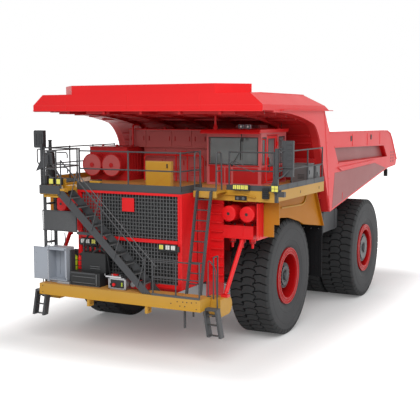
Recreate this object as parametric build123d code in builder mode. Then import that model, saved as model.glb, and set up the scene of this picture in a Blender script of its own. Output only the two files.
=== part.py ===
"""Rear-dump mining truck of the 220-tonne class: frame, decks, cab, wheels, steering and tipping body.

Millimetres. +Z is up, the truck faces -Y and its left side is +X. The origin is on the ground, under the
middle of the overall length.
"""

import os
from math import hypot

from build123d import *

# ---------------------------------------------------------------- driving dimensions
FRONT_AXLE_Y = -3200
WHEELBASE = 6350
REAR_AXLE_Y = FRONT_AXLE_Y + WHEELBASE
PIN_GAP = 0.4  # running clearance on the radius of pins, shafts and pistons
GAP = 5  # clearance between pieces that move past each other
SEAT = 0.3  # clearance between curved faces that lie on each other

TYRE_R = 1787.5
TYRE_W = 1240
TREAD_W = 1130
RIM_R = 724  # bead seat radius
RIM_FLANGE_R = 863
REAR_STRUT_Y = REAR_AXLE_Y + 700
RIM_W = 1140
RIM_WALL = 60
FRONT_WHEEL_X = 2730
REAR_OUTER_X = 3240
REAR_INNER_X = 1960

KINGPIN_X = 1600
STRUT_R = 190
SPINDLE_R = 170
HUB_R = 380
FRONT_HUB_OUT = 420  # face of the hub, outward from the wheel's middle plane
REAR_HUB_R = 500
REAR_HUB_OUT = 490
STEER_ARM = 600  # kingpin to tie rod pin, rearward
CYLINDER_ARM = 450  # kingpin to steering cylinder pin, forward
ARM_Z = (1500, 1580)
TIE_ROD_Z = 1430
TIE_ROD_R = 55
EYE_R = 100
STEER_PIN_R = 40

RAIL_X = (520, 900)  # inner and outer face of a frame rail
ENGINE_Y = (-5400, -3700)
POST_Y = (-5780, -2300)  # front faces of the posts that carry the decks
FRAME_FRONT_Y = -7130
FRAME_REAR_Y = REAR_AXLE_Y + 1450

BUMPER_FACE_Y = -7750
BUMPER_HALF = 2620
BUMPER_Z = (1530, 1850)
BUMPER_END_X = (BUMPER_HALF - 240, BUMPER_HALF + 280)
BUMPER_END_Z = (1290, 1770)
BUMPER_END_Y = -6640  # where the ends' rounded backs start

TOW_X, TOW_Y, TOW_Z, TOW_R = 950, -7610, 1410, 45

RADIATOR_HALF = 1710
RADIATOR_Y = (-7070, -6170)
RADIATOR_Z = (1900, 4539.7)
RADIATOR_BAR_Z = 3200
SHEET = 60  # red sheet and post thickness of the radiator shell

DECK_Z = 4600
DECK_PLATE = 60
DECK_HALF = 3900
DECK_FRONT_Y = -5850
DECK_REAR_Y = -1800
DECK_SPLIT_X = 1100
FRONT_DECK_HALF = 1700
FRONT_DECK_Y = -7090
FASCIA = 300
FASCIA_T = 60
TOE_H = 150
TOE_T = 20
LANDING_R_X = (-2560, -1700)
LANDING_R_Y = -7700
LANDING_L_X = (1760, 2460)
LANDING_L_Y = -6500

FLAP_Y = -760  # front face of the mud flaps behind the front wheels
FLAP_TOP_Z = 3050
FLAP_FOOT_Z = 1350

CAB_X = (1110, 2870)
CAB_Y = (-4400, -2450)
CAB_TOP_Z = 6150
CAB_WALL = 80
ROOF_T = 90
GLASS_T = 12
DOOR_Y = (-3950, -3150)
DOOR_Z = (4700, 6060)
HINGE_Z = (4900, 5750)
DOOR_GAP = 12

BODY_HALF = 3750
BODY_WALL = 260  # whole side wall, box sections included
FLOOR_T = 60
BODY_FRONT = (-730, 3520)  # (y, z) of the lower front corner
BODY_BREAK = (6300, 4550)  # (y, z) where the floor turns into the tail
TAIL_END_Y = 7750
CANOPY_HALF = 3770
CANOPY_FRONT_Y = -6400
CANOPY_Z = (6790, 7260)
CANOPY_BREAK_Y = -2360  # where the roof starts to fall towards its rear edge
CANOPY_REAR = (-1000, 6800)  # (y, z) of the roof's rear edge
SIDE_HEAD_Y = -1400  # rear end of the side walls where they meet the canopy
RIBS_X = (-2500, -1250, 0, 1250, 2500)
PLATE = 30
FLOOR_SLOPE = (BODY_BREAK[1] - BODY_FRONT[1]) / (BODY_BREAK[0] - BODY_FRONT[0])
WALL_LEAN = -0.466  # y per z of the body's front wall

PIVOT = (REAR_AXLE_Y + 1150, 3450)  # (y, z) of the body hinge
PIVOT_PIN_R = 110
HOIST_X = 1200
HOIST_FOOT = (1000, 1650)  # (y, z) of the lower pin
HOIST_HEAD = (1250, 3500)  # (y, z) of the upper pin, body down
BARREL_R = 180
STAGE_R = 140
ROD_R = 100
HOIST_PIN_R = 70
HOIST_EYE_HALF = 95
HOIST_ROD_EYE_HALF = 60

MIRROR_X = DECK_HALF + 450  # outer edge of the mirrors

FENDER_X = (DECK_HALF - 460, DECK_HALF - 420)  # side skirts
# (y, z) points of the skirts' lower edge over the tyre, front to rear
SKIRT_ARCH = [(-4320, 3700), (-3700, 3640), (-3200, 3520), (-2850, 3440), (-2400, 3290)]
CLEANER_Z = 3950
CLEANER_BOX_Z = (3240, 3600)

os.makedirs("parts", exist_ok=True)


def floor_z(y):
    """Height of the body's underside line at y."""
    return BODY_FRONT[1] + FLOOR_SLOPE * (y - BODY_FRONT[0])


def wall_y(z):
    """Front face of the body's front wall at height z."""
    return BODY_FRONT[0] + WALL_LEAN * (z - BODY_FRONT[1])


# (y, z) points of the curved skin that carries the canopy, from the front wall up
SKIN_FOOT = (wall_y(CANOPY_Z[0] - 1190), CANOPY_Z[0] - 1190)
SKIN_HIP = (wall_y(CANOPY_Z[0] - 690) - 47.7, CANOPY_Z[0] - 690)
SKIN_KNEE = (SKIN_HIP[0] - 390, CANOPY_Z[0] - 400)
SKIN_CROWN = (SKIN_KNEE[0] - 1230, CANOPY_Z[0] - 170)


def rail_top(y):
    """Height of the frame rails' upper face behind the front axle."""
    return 2900 + (3150 - 2900) * (y + 1200) / (FRAME_REAR_Y + 1200)


def block(x, y, z, mode=Mode.ADD):
    """A box between two x, two y and two z values."""
    with Locations(((x[0] + x[1]) / 2, (y[0] + y[1]) / 2, (z[0] + z[1]) / 2)):
        Box(abs(x[1] - x[0]), abs(y[1] - y[0]), abs(z[1] - z[0]), mode=mode)


def bar(start, end, radius, mode=Mode.ADD):
    """A round bar between two points."""
    a, b = Vector(*start), Vector(*end)
    with Locations(Plane(origin=a, z_dir=b - a).location):
        Cylinder(radius, (b - a).length, align=(Align.CENTER, Align.CENTER, Align.MIN), mode=mode)


def bars(runs, radius):
    """Round bars for a list of (start, end) pairs, made and joined in one step."""
    made = []
    for start, end in runs:
        a, b = Vector(*start), Vector(*end)
        at = Plane(origin=a, z_dir=b - a).location
        made.append(
            at * Cylinder(radius, (b - a).length, align=(Align.CENTER, Align.CENTER, Align.MIN),
                          mode=Mode.PRIVATE)
        )
    add(made)


def slab_yz(points, x, mode=Mode.ADD):
    """A plate cut to a (y, z) outline, between two x values."""
    with BuildSketch(Plane.YZ.offset(x[0])) as outline:
        with BuildLine():
            Polyline(*points, close=True)
        make_face()
    extrude(outline.sketch, amount=x[1] - x[0], mode=mode)


def slab_xz(points, y, mode=Mode.ADD):
    """A plate cut to an (x, z) outline, between two y values."""
    with BuildSketch(Plane.XZ.offset(-y[0])) as outline:
        with BuildLine():
            Polyline(*points, close=True)
        make_face()
    extrude(outline.sketch, amount=-(y[1] - y[0]), mode=mode)


def both_sides(x):
    """The (low, high) pair x on the left of the truck, and its mirror image on the right."""
    return (x, (-x[1], -x[0]))


def save(name, shape):
    shape.label = name
    export_step(shape, f"parts/{name}.step")


# ---------------------------------------------------------------- frame
def make_frame():
    step_y = RADIATOR_Y[1] + 60
    outline = [
        (FRAME_FRONT_Y, 1550), (FRAME_FRONT_Y, RADIATOR_Z[0]), (step_y, RADIATOR_Z[0]), (step_y, 2300),
        (-2600, 2350), (-1200, rail_top(-1200)), (FRAME_REAR_Y, rail_top(FRAME_REAR_Y)),
        (FRAME_REAR_Y, 2450),
        (REAR_AXLE_Y - 800, 2450), (REAR_AXLE_Y - 1550, 1520), (-3000, 1520),
    ]
    with BuildPart() as frame:
        for x in both_sides(RAIL_X):
            slab_yz(outline, x)
        # cross members
        for y, z in (((FRAME_FRONT_Y, FRAME_FRONT_Y + 230), (1600, 1850)),
                     ((ENGINE_Y[0] - 300, ENGINE_Y[0]), (1600, 2200)),
                     ((-900, -600), (1700, 2700)),
                     ((FRAME_REAR_Y - 250, FRAME_REAR_Y), (2500, 3000))):
            block((-RAIL_X[0], RAIL_X[0]), y, z)
        # front collar that carries the suspension struts
        block((-1100, 1100), (FRONT_AXLE_Y - 260, FRONT_AXLE_Y + 260), (2000, 3250))
        for side in (1, -1):
            block((side * 1100, side * (KINGPIN_X - STRUT_R - SEAT)),
                  (FRONT_AXLE_Y - 200, FRONT_AXLE_Y + 200),
                  (2450, 3150))
        # lower cross tube with the hoist feet
        bar((-HOIST_X - 150, *HOIST_FOOT), (HOIST_X + 150, *HOIST_FOOT), HOIST_PIN_R)
        for x in both_sides((RAIL_X[1], HOIST_X - 100 - GAP)):
            with Locations(Plane(origin=(x[0], *HOIST_FOOT), z_dir=(1, 0, 0)).location):
                Cylinder(150, x[1] - x[0], align=(Align.CENTER, Align.CENTER, Align.MIN))
        # rear suspension cross tube
        bar((-1250, REAR_STRUT_Y, 2600), (1250, REAR_STRUT_Y, 2600), 120)
        # body hinge ears and pins
        for x in both_sides((640, 780)):
            slab_yz([(PIVOT[0] - 260, 3000), (PIVOT[0] + 260, 3000), (PIVOT[0] + 200, PIVOT[1]),
                     (PIVOT[0] - 200, PIVOT[1])], x)
            bar((x[0], *PIVOT), (x[1], *PIVOT), 200)
        for x in both_sides((500, 920)):
            bar((x[0], *PIVOT), (x[1], *PIVOT), PIVOT_PIN_R)
        # rear tow eye
        block((-40, 40), (FRAME_REAR_Y, FRAME_REAR_Y + 240), (2600, 2860))
        bar((-41, FRAME_REAR_Y + 140, 2730), (41, FRAME_REAR_Y + 140, 2730), TOW_R, Mode.SUBTRACT)
        # uprights that carry the decks
        for x in both_sides(RAIL_X):
            for y in POST_Y:
                block((x[0] + 90, x[1] - 90), (y, y + 180), (2250, DECK_Z - DECK_PLATE))
    save("frame", frame.part)


def make_deck_supports():
    """Outriggers between the frame uprights and the decks, and the ribbed panels beside the radiator."""
    with BuildPart() as supports:
        for side in (1, -1):
            for y in POST_Y:
                block((side * (RAIL_X[1] - 90), side * (DECK_HALF - 70)), (y, y + 180),
                      (DECK_Z - DECK_PLATE - 190, DECK_Z - DECK_PLATE))
            # ribbed panel between the radiator and the air cleaners
            block((side * 1790, side * 2340), (POST_Y[0], POST_Y[0] + 30),
                  (1950, DECK_Z - DECK_PLATE - 100))
            for z in range(2150, 4280, 250):
                block((side * 1960, side * 2335), (POST_Y[0] - 60, POST_Y[0]), (z, z + 30))
    save("deck_supports", supports.part)


def make_bumper():
    with BuildPart() as bumper:
        block((-BUMPER_HALF, BUMPER_HALF), (BUMPER_FACE_Y, FRAME_FRONT_Y), BUMPER_Z)
        end_middle, end_r = sum(BUMPER_END_Z) / 2, (BUMPER_END_Z[1] - BUMPER_END_Z[0]) / 2
        for x in both_sides(BUMPER_END_X):
            block(x, (FRAME_FRONT_Y, BUMPER_END_Y), BUMPER_END_Z)
            bar((x[0], BUMPER_END_Y, end_middle), (x[1], BUMPER_END_Y, end_middle), end_r)
        # tow eyes under the beam
        for x in both_sides((TOW_X - 40, TOW_X + 40)):
            block(x, (TOW_Y - 110, TOW_Y + 110), (TOW_Z - 90, BUMPER_Z[0]))
            bar((x[0] - 1, TOW_Y, TOW_Z), (x[1] + 1, TOW_Y, TOW_Z), TOW_R, Mode.SUBTRACT)
    save("front_bumper", bumper.part)


def make_engine():
    with BuildPart() as engine:
        block((-500, 500), ENGINE_Y, (1750, 3600))
    save("engine_block", engine.part)


# ---------------------------------------------------------------- radiator
def make_radiator():
    x, y, z = (-RADIATOR_HALF, RADIATOR_HALF), RADIATOR_Y, RADIATOR_Z
    with BuildPart() as housing:
        block(x, y, z)
        block((x[0] + SHEET, x[1] - SHEET), (y[0], y[1]), (z[0] + 80, z[1] - 60), Mode.SUBTRACT)
        block((x[0], x[1]), (y[0], y[0] + 60), (RADIATOR_BAR_Z - 50, RADIATOR_BAR_Z + 50))
        for side in (1, -1):
            block((side * RADIATOR_HALF, side * (RADIATOR_HALF - 130)), (y[0], y[0] + 60), z)
    save("radiator_housing", housing.part)
    with BuildPart() as core:
        block((x[0] + SHEET, x[1] - SHEET), (y[0] + 120, y[0] + 520), (z[0] + 80, z[1] - 60))
    save("radiator_core", core.part)


# ---------------------------------------------------------------- decks
def make_decks():
    plate = (DECK_Z - DECK_PLATE, DECK_Z)
    fascia = (DECK_Z - FASCIA, DECK_Z - DECK_PLATE)
    with BuildPart() as center:
        block((-DECK_SPLIT_X, DECK_SPLIT_X), (DECK_FRONT_Y, DECK_REAR_Y), plate)
        block((-FRONT_DECK_HALF, FRONT_DECK_HALF), (FRONT_DECK_Y, DECK_FRONT_Y), plate)
        block((-FRONT_DECK_HALF, FRONT_DECK_HALF), (FRONT_DECK_Y, FRONT_DECK_Y + TOE_T),
              (DECK_Z, DECK_Z + TOE_H))
    save("deck_center", center.part)
    for name, side in (("deck_left", 1), ("deck_right", -1)):
        with BuildPart() as deck:
            block((side * DECK_SPLIT_X, side * DECK_HALF), (DECK_FRONT_Y, DECK_REAR_Y), plate)
            block((side * (FRONT_DECK_HALF + 60), side * DECK_HALF),
                  (DECK_FRONT_Y, DECK_FRONT_Y + FASCIA_T), fascia)
            block((side * (DECK_HALF - FASCIA_T), side * DECK_HALF), (DECK_FRONT_Y, DECK_REAR_Y), fascia)
            block((side * (DECK_HALF - TOE_T), side * DECK_HALF), (DECK_FRONT_Y, DECK_REAR_Y),
                  (DECK_Z, DECK_Z + TOE_H))
            if side == 1:
                block((LANDING_L_X[1], DECK_HALF), (DECK_FRONT_Y, DECK_FRONT_Y + TOE_T),
                      (DECK_Z, DECK_Z + TOE_H))
                block(LANDING_L_X, (LANDING_L_Y, DECK_FRONT_Y), plate)
                block(LANDING_L_X, (LANDING_L_Y, LANDING_L_Y + FASCIA_T),
                      (DECK_Z - 180, DECK_Z - DECK_PLATE))
            else:
                block((LANDING_R_X[0], LANDING_R_X[1] - GAP), (LANDING_R_Y, DECK_FRONT_Y), plate)
                block((LANDING_R_X[0], -1950), (LANDING_R_Y, LANDING_R_Y + FASCIA_T),
                      (DECK_Z - 180, DECK_Z + 60))
                block((LANDING_R_X[0], LANDING_R_X[0] + FASCIA_T), (LANDING_R_Y, DECK_FRONT_Y),
                      (DECK_Z - 180, DECK_Z + 60))
        save(name, deck.part)


def make_fenders():
    """Plates round the front wheels, clear of the steered tyres, with the flaps' hangers."""
    top = DECK_Z - FASCIA - SEAT
    under = DECK_Z - DECK_PLATE
    lean = -970 / (under - FLAP_TOP_Z)  # y per z of the rear plate
    skirt_top = under - 190

    def rear_plate_y(z):
        return FLAP_Y + lean * (z - FLAP_TOP_Z)

    with BuildPart() as fenders:
        for side in (1, -1):
            # stepped front plate
            slab_xz([(side * FENDER_X[0], 3300), (side * (DECK_HALF - 160), 3300),
                     (side * (DECK_HALF - 160), 3650),
                     (side * DECK_HALF, 3650), (side * DECK_HALF, top), (side * FENDER_X[0], top)],
                     (-5500, -5460))
            # side skirt, arched over the tyre
            slab_yz([(-5460, 3700), *SKIRT_ARCH, (rear_plate_y(FLAP_TOP_Z) + 20, FLAP_TOP_Z),
                     (rear_plate_y(skirt_top) + 20, skirt_top), (-5460, skirt_top)],
                    (side * FENDER_X[0], side * FENDER_X[1]))
            # leaning rear plate
            slab_yz([(FLAP_Y, FLAP_TOP_Z), (FLAP_Y + 40, FLAP_TOP_Z), (rear_plate_y(under) + 40, under),
                     (rear_plate_y(under), under)], (side * 2250, side * (DECK_HALF - 340)))
    save("fenders", fenders.part)


# ---------------------------------------------------------------- cab
def make_cab():
    x, y, z = CAB_X, CAB_Y, (DECK_Z, CAB_TOP_Z)
    window_z = (5230, 5990)
    panes = []  # each: (x pair, y pair, z pair) of a window opening
    front = ((x[0] + 90, x[1] - 120), (y[0], y[0] + CAB_WALL), window_z)
    rear = ((x[0] + 250, x[1] - 250), (y[1] - CAB_WALL, y[1]), window_z)
    inner = ((x[0], x[0] + CAB_WALL), (y[0] + 200, y[1] - 400), window_z)
    quarter = ((x[1] - CAB_WALL, x[1]), (y[0] + 130, DOOR_Y[0] - 80), window_z)
    back = ((x[1] - CAB_WALL, x[1]), (DOOR_Y[1] + 130, y[1] - 150), window_z)
    panes += [front, rear, inner, quarter, back]
    with BuildPart() as shell:
        block(x, y, z)
        block((x[0] + CAB_WALL, x[1] - CAB_WALL), (y[0] + CAB_WALL, y[1] - CAB_WALL),
              (z[0] + 100, z[1] + 1),
              Mode.SUBTRACT)
        for pane in panes:
            block(*pane, Mode.SUBTRACT)
        block((x[1] - CAB_WALL, x[1]), DOOR_Y, DOOR_Z, Mode.SUBTRACT)
        # hinge knuckles above and below each of the door's own
        for hinge_z in HINGE_Z:
            for low in (hinge_z - 60, hinge_z + 120.3):
                bar((x[1] + 15, DOOR_Y[1] - 30, low), (x[1] + 15, DOOR_Y[1] - 30, low + 59.7), 15)
                block((x[1] - 5, x[1] + 15), (DOOR_Y[1] - 30, DOOR_Y[1] + 60), (low, low + 59.7))
    save("cab_shell", shell.part)

    with BuildPart() as roof:
        block((x[0] - 60, x[1] + 60), (y[0] - 220, y[1] + 40), (CAB_TOP_Z, CAB_TOP_Z + ROOF_T))
    save("cab_roof", roof.part)

    with BuildPart() as windows:
        for px, py, pz in panes:
            middle_x = (px[0] + px[1]) / 2
            middle_y = (py[0] + py[1]) / 2
            if px[1] - px[0] == CAB_WALL:
                px = (middle_x - GLASS_T / 2, middle_x + GLASS_T / 2)
            else:
                py = (middle_y - GLASS_T / 2, middle_y + GLASS_T / 2)
            block(px, py, pz)
    save("cab_windows", windows.part)

    door_x = (x[1] - CAB_WALL + 10, x[1] - 10)
    door_y = (DOOR_Y[0] + DOOR_GAP, DOOR_Y[1] - DOOR_GAP)
    door_z = (DOOR_Z[0] + DOOR_GAP, DOOR_Z[1] - DOOR_GAP)
    pane_y, pane_z = (door_y[0] + 110, door_y[1] - 170), (5150, 5950)
    with BuildPart() as door:
        block(door_x, door_y, door_z)
        block(door_x, pane_y, pane_z, Mode.SUBTRACT)
        # hinge barrels on the rear edge and the handle
        for hinge_z in HINGE_Z:
            bar((x[1] + 15, DOOR_Y[1] - 30, hinge_z), (x[1] + 15, DOOR_Y[1] - 30, hinge_z + 120), 15)
            block((x[1] - 12, x[1] + 15), (DOOR_Y[1] - 70, DOOR_Y[1] - 30), (hinge_z, hinge_z + 120))
        block((x[1] - 12, x[1] + 45), (door_y[0] + 40, door_y[0] + 65), (5200, 5420))
    save("cab_door", door.part)
    with BuildPart() as door_window:
        middle_x = (door_x[0] + door_x[1]) / 2
        block((middle_x - GLASS_T / 2, middle_x + GLASS_T / 2), pane_y, pane_z)
    save("cab_door_window", door_window.part)

    floor = DECK_Z + 100
    with BuildPart() as seat:
        block((1850, 2150), (-3600, -3300), (floor, floor + 350))
        block((1730, 2270), (-3720, -3180), (floor + 350, floor + 480))
        block((1750, 2250), (-3300, -3180), (floor + 480, floor + 1080))
        block((1880, 2120), (-3290, -3190), (floor + 1080, floor + 1250))
    save("cab_seat", seat.part)
    with BuildPart() as console:
        slab_yz([(-4319, floor), (-4100, floor), (-4080, floor + 480), (-4000, floor + 560),
                 (-4319, floor + 620)],
                (1300, 2600))
        block((1250, 1500), (-4080, -3300), (floor, floor + 520))
        bar((2000, -4060, floor + 430), (2000, -3880, floor + 640), 30)
        steering_wheel = Plane(origin=(2000, -3880, floor + 640), z_dir=(0, 180, 210))
        with Locations(steering_wheel.location):
            Torus(215, 16)
            Box(430, 30, 20)
            Cylinder(50, 40)
    save("cab_console", console.part)


# ---------------------------------------------------------------- deck equipment
def make_deck_equipment():
    with BuildPart() as cabinet:
        block((-1500, 850), (-3700, -2550), (DECK_Z, 5650))
        block((-2000, 850), (-3800, -2550), (5650, 6200))
    save("control_cabinet", cabinet.part)
    with BuildPart() as grid:
        block((-3050, -1650), (-4500, -3200), (DECK_Z, 5650))
        for x in (-2720, -2000):
            bar((x, -4500, 5110), (x, -4850, 5110), 330)
    save("resistor_grid_box", grid.part)
    with BuildPart() as locker:
        block((-70, 780), (-6000, -5880), (DECK_Z, 5350))
    save("deck_locker", locker.part)
    with BuildPart() as side_cabinets:
        block((DECK_HALF - 600, DECK_HALF - 80), (-3050, -2550), (DECK_Z, DECK_Z + 590))
        block((DECK_HALF - 470, DECK_HALF - 80), (-2350, -1950), (DECK_Z, DECK_Z + 500))
    save("deck_side_cabinets", side_cabinets.part)


def make_air_cleaners():
    """Twin canisters each side on a box and a back plate, with a brace down to the bumper's end."""
    low, high = CLEANER_BOX_Z
    foot = (BUMPER_HALF + 230, BUMPER_END_Y - 80, BUMPER_END_Z[1] + 70)
    with BuildPart() as cleaners:
        for side in (1, -1):
            for x in (2580, 3130):
                bar((side * x, -5950, CLEANER_Z), (side * x, -5140, CLEANER_Z), 215)
            block((side * 2340, side * 3250), (-5790, -5150), (low, high))
            block((side * 2300, side * 3430), (-5150, -5110), (low, DECK_Z - DECK_PLATE))
            block((side * 3400, side * 3430), (-5900, -5110), (low, 4250))
            for x in (2480, 2790, 3100):
                with Locations(Location((side * x, -5480, low - 90))):
                    Cone(35, 90, 180)
            bar((side * foot[0], foot[1], foot[2]), (side * 2910, -5690, low + 20), 45)
            block((side * (foot[0] - 100), side * (foot[0] + 100)), (foot[1] - 80, foot[1] + 80),
                  (BUMPER_END_Z[1], foot[2]))
    save("air_cleaners", cleaners.part)


# ---------------------------------------------------------------- ladders, stairs, rails
def make_stairs():
    top, foot = (-1900, DECK_Z), (950, BUMPER_Z[1])
    steps = 11
    with BuildPart() as stairs:
        for y in (-7690, -7195):
            slab_xz([(foot[0] - 150, foot[1]), (foot[0] + 150, foot[1]), (top[0] + 150, top[1] - 61),
                     (top[0] - 50, top[1] - 61), (top[0] - 50, top[1] - 190)], (y, y + 20))
        for n in range(1, steps):
            t = n / steps
            x = foot[0] + t * (top[0] - foot[0])
            z = foot[1] + t * (top[1] - foot[1])
            block((x - 130, x + 110), (-7670, -7195), (z - 25, z))
        # handrail on the outer side
        bars([((foot[0] - 60, -7680, foot[1] + 900), (top[0] + 60, -7680, top[1] + 800)),
              ((foot[0] - 60, -7680, foot[1]), (foot[0] - 60, -7680, foot[1] + 900)),
              ((-480, -7680, 3100), (-480, -7680, 4150)),
              ((top[0] + 60, -7680, top[1]), (top[0] + 60, -7680, top[1] + 800))], 20)
    save("stairway", stairs.part)

    with BuildPart() as ladder:
        foot_y, top_y = -7190, LANDING_L_Y - 60
        lean = (top_y - foot_y) / (DECK_Z - 200 - BUMPER_Z[1])
        for x in (1880, 2300):
            slab_yz([(foot_y - 40, BUMPER_Z[1]), (foot_y + 40, BUMPER_Z[1]), (top_y + 59, DECK_Z),
                     (top_y - 20, DECK_Z)], (x, x + 60))
        for n in range(9):
            z = BUMPER_Z[1] + 280 * (n + 1)
            y = foot_y + lean * (z - BUMPER_Z[1])
            bar((1900, y, z), (2340, y, z), 18)
    save("access_ladder", ladder.part)

    # boarding ladders hang from the bumper and lean outward
    inner, outer, plate, lean, low = BUMPER_HALF - 60, BUMPER_HALF + 290, 70, 120, 820
    ladder_y = (-7500, -7300)
    with BuildPart() as boarding:
        for side in (1, -1):
            for x in (inner, outer):
                slab_xz([(side * x, BUMPER_Z[0]), (side * (x + plate), BUMPER_Z[0]),
                         (side * (x + plate + lean), low),
                         (side * (x + lean), low)], ladder_y)
            for z in (850, 1130, 1400):
                shift = lean * (BUMPER_Z[0] - z) / (BUMPER_Z[0] - low)
                block((side * (inner + shift + 5), side * (outer + shift + plate - 5)), (-7445, -7355),
                      (z, z + 25))
            block((side * BUMPER_HALF, side * (outer + plate)), ladder_y, (BUMPER_Z[0], BUMPER_Z[0] + 60))
    save("boarding_ladders", boarding.part)


def railing(points, height, radius, spacing=1500):
    """A two-rail railing with thicker posts, along a chain of floor points."""
    rails, posts = [], []
    for a, b in zip(points, points[1:]):
        count = max(1, round(hypot(b[0] - a[0], b[1] - a[1]) / spacing))
        for h in (height, height * 0.52):
            rails.append(((a[0], a[1], a[2] + h), (b[0], b[1], b[2] + h)))
        for n in range(count):
            t = n / count
            posts.append((a[0] + t * (b[0] - a[0]), a[1] + t * (b[1] - a[1]), a[2]))
    posts.append(points[-1])
    bars(rails, radius)
    bars([((x, y, z), (x, y, z + height + 1.5 * radius)) for x, y, z in posts], radius * 1.15)


def make_railings():
    inset = 45
    z = DECK_Z
    edge = DECK_HALF - inset
    chains = [
        [(-FRONT_DECK_HALF + inset, FRONT_DECK_Y + inset, z),
         (FRONT_DECK_HALF - inset, FRONT_DECK_Y + inset, z),
         (FRONT_DECK_HALF - inset, DECK_FRONT_Y - inset, z)],
        [(LANDING_L_X[1] + 60, DECK_FRONT_Y + inset, z), (edge, DECK_FRONT_Y + inset, z),
         (edge, DECK_REAR_Y - 60, z)],
        [(-2050, LANDING_R_Y + 90, z), (LANDING_R_X[0] + 90, LANDING_R_Y + 90, z),
         (LANDING_R_X[0] + 90, DECK_FRONT_Y - inset, z)],
        [(LANDING_R_X[0] - 60, DECK_FRONT_Y + inset, z), (-edge, DECK_FRONT_Y + inset, z),
         (-edge, DECK_REAR_Y - 60, z)],
    ]
    with BuildPart() as railings:
        for chain in chains:
            railing(chain, 1050, 20)
    save("deck_railings", railings.part)
    with BuildPart() as low:
        foot = BUMPER_Z[1]
        end = BUMPER_HALF - 60
        railing([(1150, BUMPER_FACE_Y + 60, foot), (end, BUMPER_FACE_Y + 60, foot)], 950, 18, 750)
        block((1130, end + 20), (BUMPER_FACE_Y, BUMPER_FACE_Y + 39), (foot, foot + 60))
        grab_x, grab_z, ys = BUMPER_HALF + 60, (BUMPER_END_Z[1], 2900), (-7100, -6850)
        bars([((grab_x, ys[0], grab_z[0]), (grab_x, ys[0], grab_z[1])),
              ((grab_x, ys[0], grab_z[1]), (grab_x, ys[1], grab_z[1])),
              ((grab_x, ys[1], grab_z[0]), (grab_x, ys[1], grab_z[1]))], 20)
    save("bumper_railing", low.part)


# ---------------------------------------------------------------- boxes on the bumper
def make_bumper_boxes():
    foot = BUMPER_Z[1]
    with BuildPart() as frame:
        for x, y in (((LANDING_R_X[0] - 90, LANDING_R_X[0]), (-7450, -7410)),
                     ((-2500, -2400), (-7170, -7132))):
            block(x, y, (foot, DECK_Z - DECK_PLATE))
            for z in (3450, 3820):
                block((x[0] + 30, x[1] - 30), (-7470, y[0]), (z, z + 40))
        block((-2610, -1460), (-7500, -7460), (3360, 3950))
    save("sign_panel", frame.part)

    box_x, box_y, box_z = (-2440, -1790), (-7560, -7180), (1930, 2890)
    with BuildPart() as battery:
        block(box_x, box_y, box_z)
        block((box_x[0] + 25, box_x[1] - 25), (box_y[0], box_y[1] - 25), (box_z[0] + 25, box_z[1] - 25),
              Mode.SUBTRACT)
        block((box_x[0] + 60, box_x[1] - 60), (box_y[0] + 60, box_y[1] - 60), (foot, box_z[0]))
        for z in (box_z[0] - 40, box_z[1]):
            block((box_x[0] - 15, box_x[0] + 60), (box_y[0] - 35, box_y[0] + 40), (z, z + 40))
    save("battery_box", battery.part)
    # the lid is folded right back about the box's outer edge; its pin turns in the box's two lugs
    lid_y = box_y[0] - 2 * GAP
    with BuildPart() as lid:
        block((box_x[0] - 490, box_x[0] - GAP), (lid_y - 20, lid_y), (box_z[0] + GAP, box_z[1] - GAP))
        bar((box_x[0], lid_y - 10, box_z[0]), (box_x[0], lid_y - 10, box_z[1]), 9)
        block((box_x[0] - 60, box_x[0]), (lid_y - 14, lid_y - 6), (box_z[0] + 120, box_z[1] - 120))
    save("battery_box_door", lid.part)

    with BuildPart() as tool:
        block((-1650, -650), (-7560, -7150), (foot, foot + 390))
        block((-1380, -560), (-7400, -7150), (foot + 390, foot + 940))
    save("tool_box", tool.part)
    with BuildPart() as service:
        block((-360, 220), (-7560, -7200), (foot, foot + 340))
        block((-430, 80), (-7600, -7200), (foot + 340, foot + 380))
    save("service_box", service.part)


# ---------------------------------------------------------------- wheels
def tyre_at(x):
    """A tyre whose middle plane is at x, as one solid ring."""
    half, tread = TYRE_W / 2, TREAD_W / 2
    bead = RIM_W / 2 - 50
    height = TYRE_R - RIM_FLANGE_R
    with BuildPart(mode=Mode.PRIVATE) as tyre:
        with BuildSketch(Plane.XY):
            with BuildLine():
                wall = [(bead, RIM_FLANGE_R + 20), (half - 25, RIM_FLANGE_R + 0.19 * height),
                        (half, RIM_FLANGE_R + 0.46 * height), (half - 4, RIM_FLANGE_R + 0.76 * height),
                        (tread + 35, TYRE_R - 0.065 * height)]
                for s in (1, -1):
                    Line((x + s * bead, RIM_R + SEAT), (x + s * bead, wall[0][1]))
                    for low in (0, 2):
                        ThreePointArc(*[(x + s * wx, wr) for wx, wr in wall[low:low + 3]])
                    Line((x + s * wall[4][0], wall[4][1]), (x + s * tread, TYRE_R))
                Line((x - tread, TYRE_R), (x + tread, TYRE_R))
                Line((x - bead, RIM_R + SEAT), (x + bead, RIM_R + SEAT))
            make_face()
        revolve(axis=Axis.X)
    return tyre.part


def ring(x, outer, inner):
    """A ring about the X axis between two x values."""
    length = x[1] - x[0]
    at = Plane(origin=(x[0], 0, 0), z_dir=(1, 0, 0)).location
    low = (Align.CENTER, Align.CENTER, Align.MIN)
    with Locations(at):
        Cylinder(outer, length, align=low)
    if inner:
        with Locations(at):
            Cylinder(inner, length, align=low, mode=Mode.SUBTRACT)


def rim_shell(x):
    """The barrel and both flanges of a rim whose middle plane is at x; adds to the current part."""
    half = RIM_W / 2
    inner = RIM_R - RIM_WALL
    profile = [(-half, inner), (half, inner), (half, RIM_FLANGE_R), (half - 45, RIM_FLANGE_R),
               (half - 45, RIM_R),
               (-half + 45, RIM_R), (-half + 45, RIM_FLANGE_R), (-half, RIM_FLANGE_R)]
    with BuildSketch(Plane.XY) as section:
        with BuildLine():
            Polyline(*[(x + px, pr) for px, pr in profile], close=True)
        make_face()
    revolve(section.sketch, axis=Axis.X)


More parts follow.
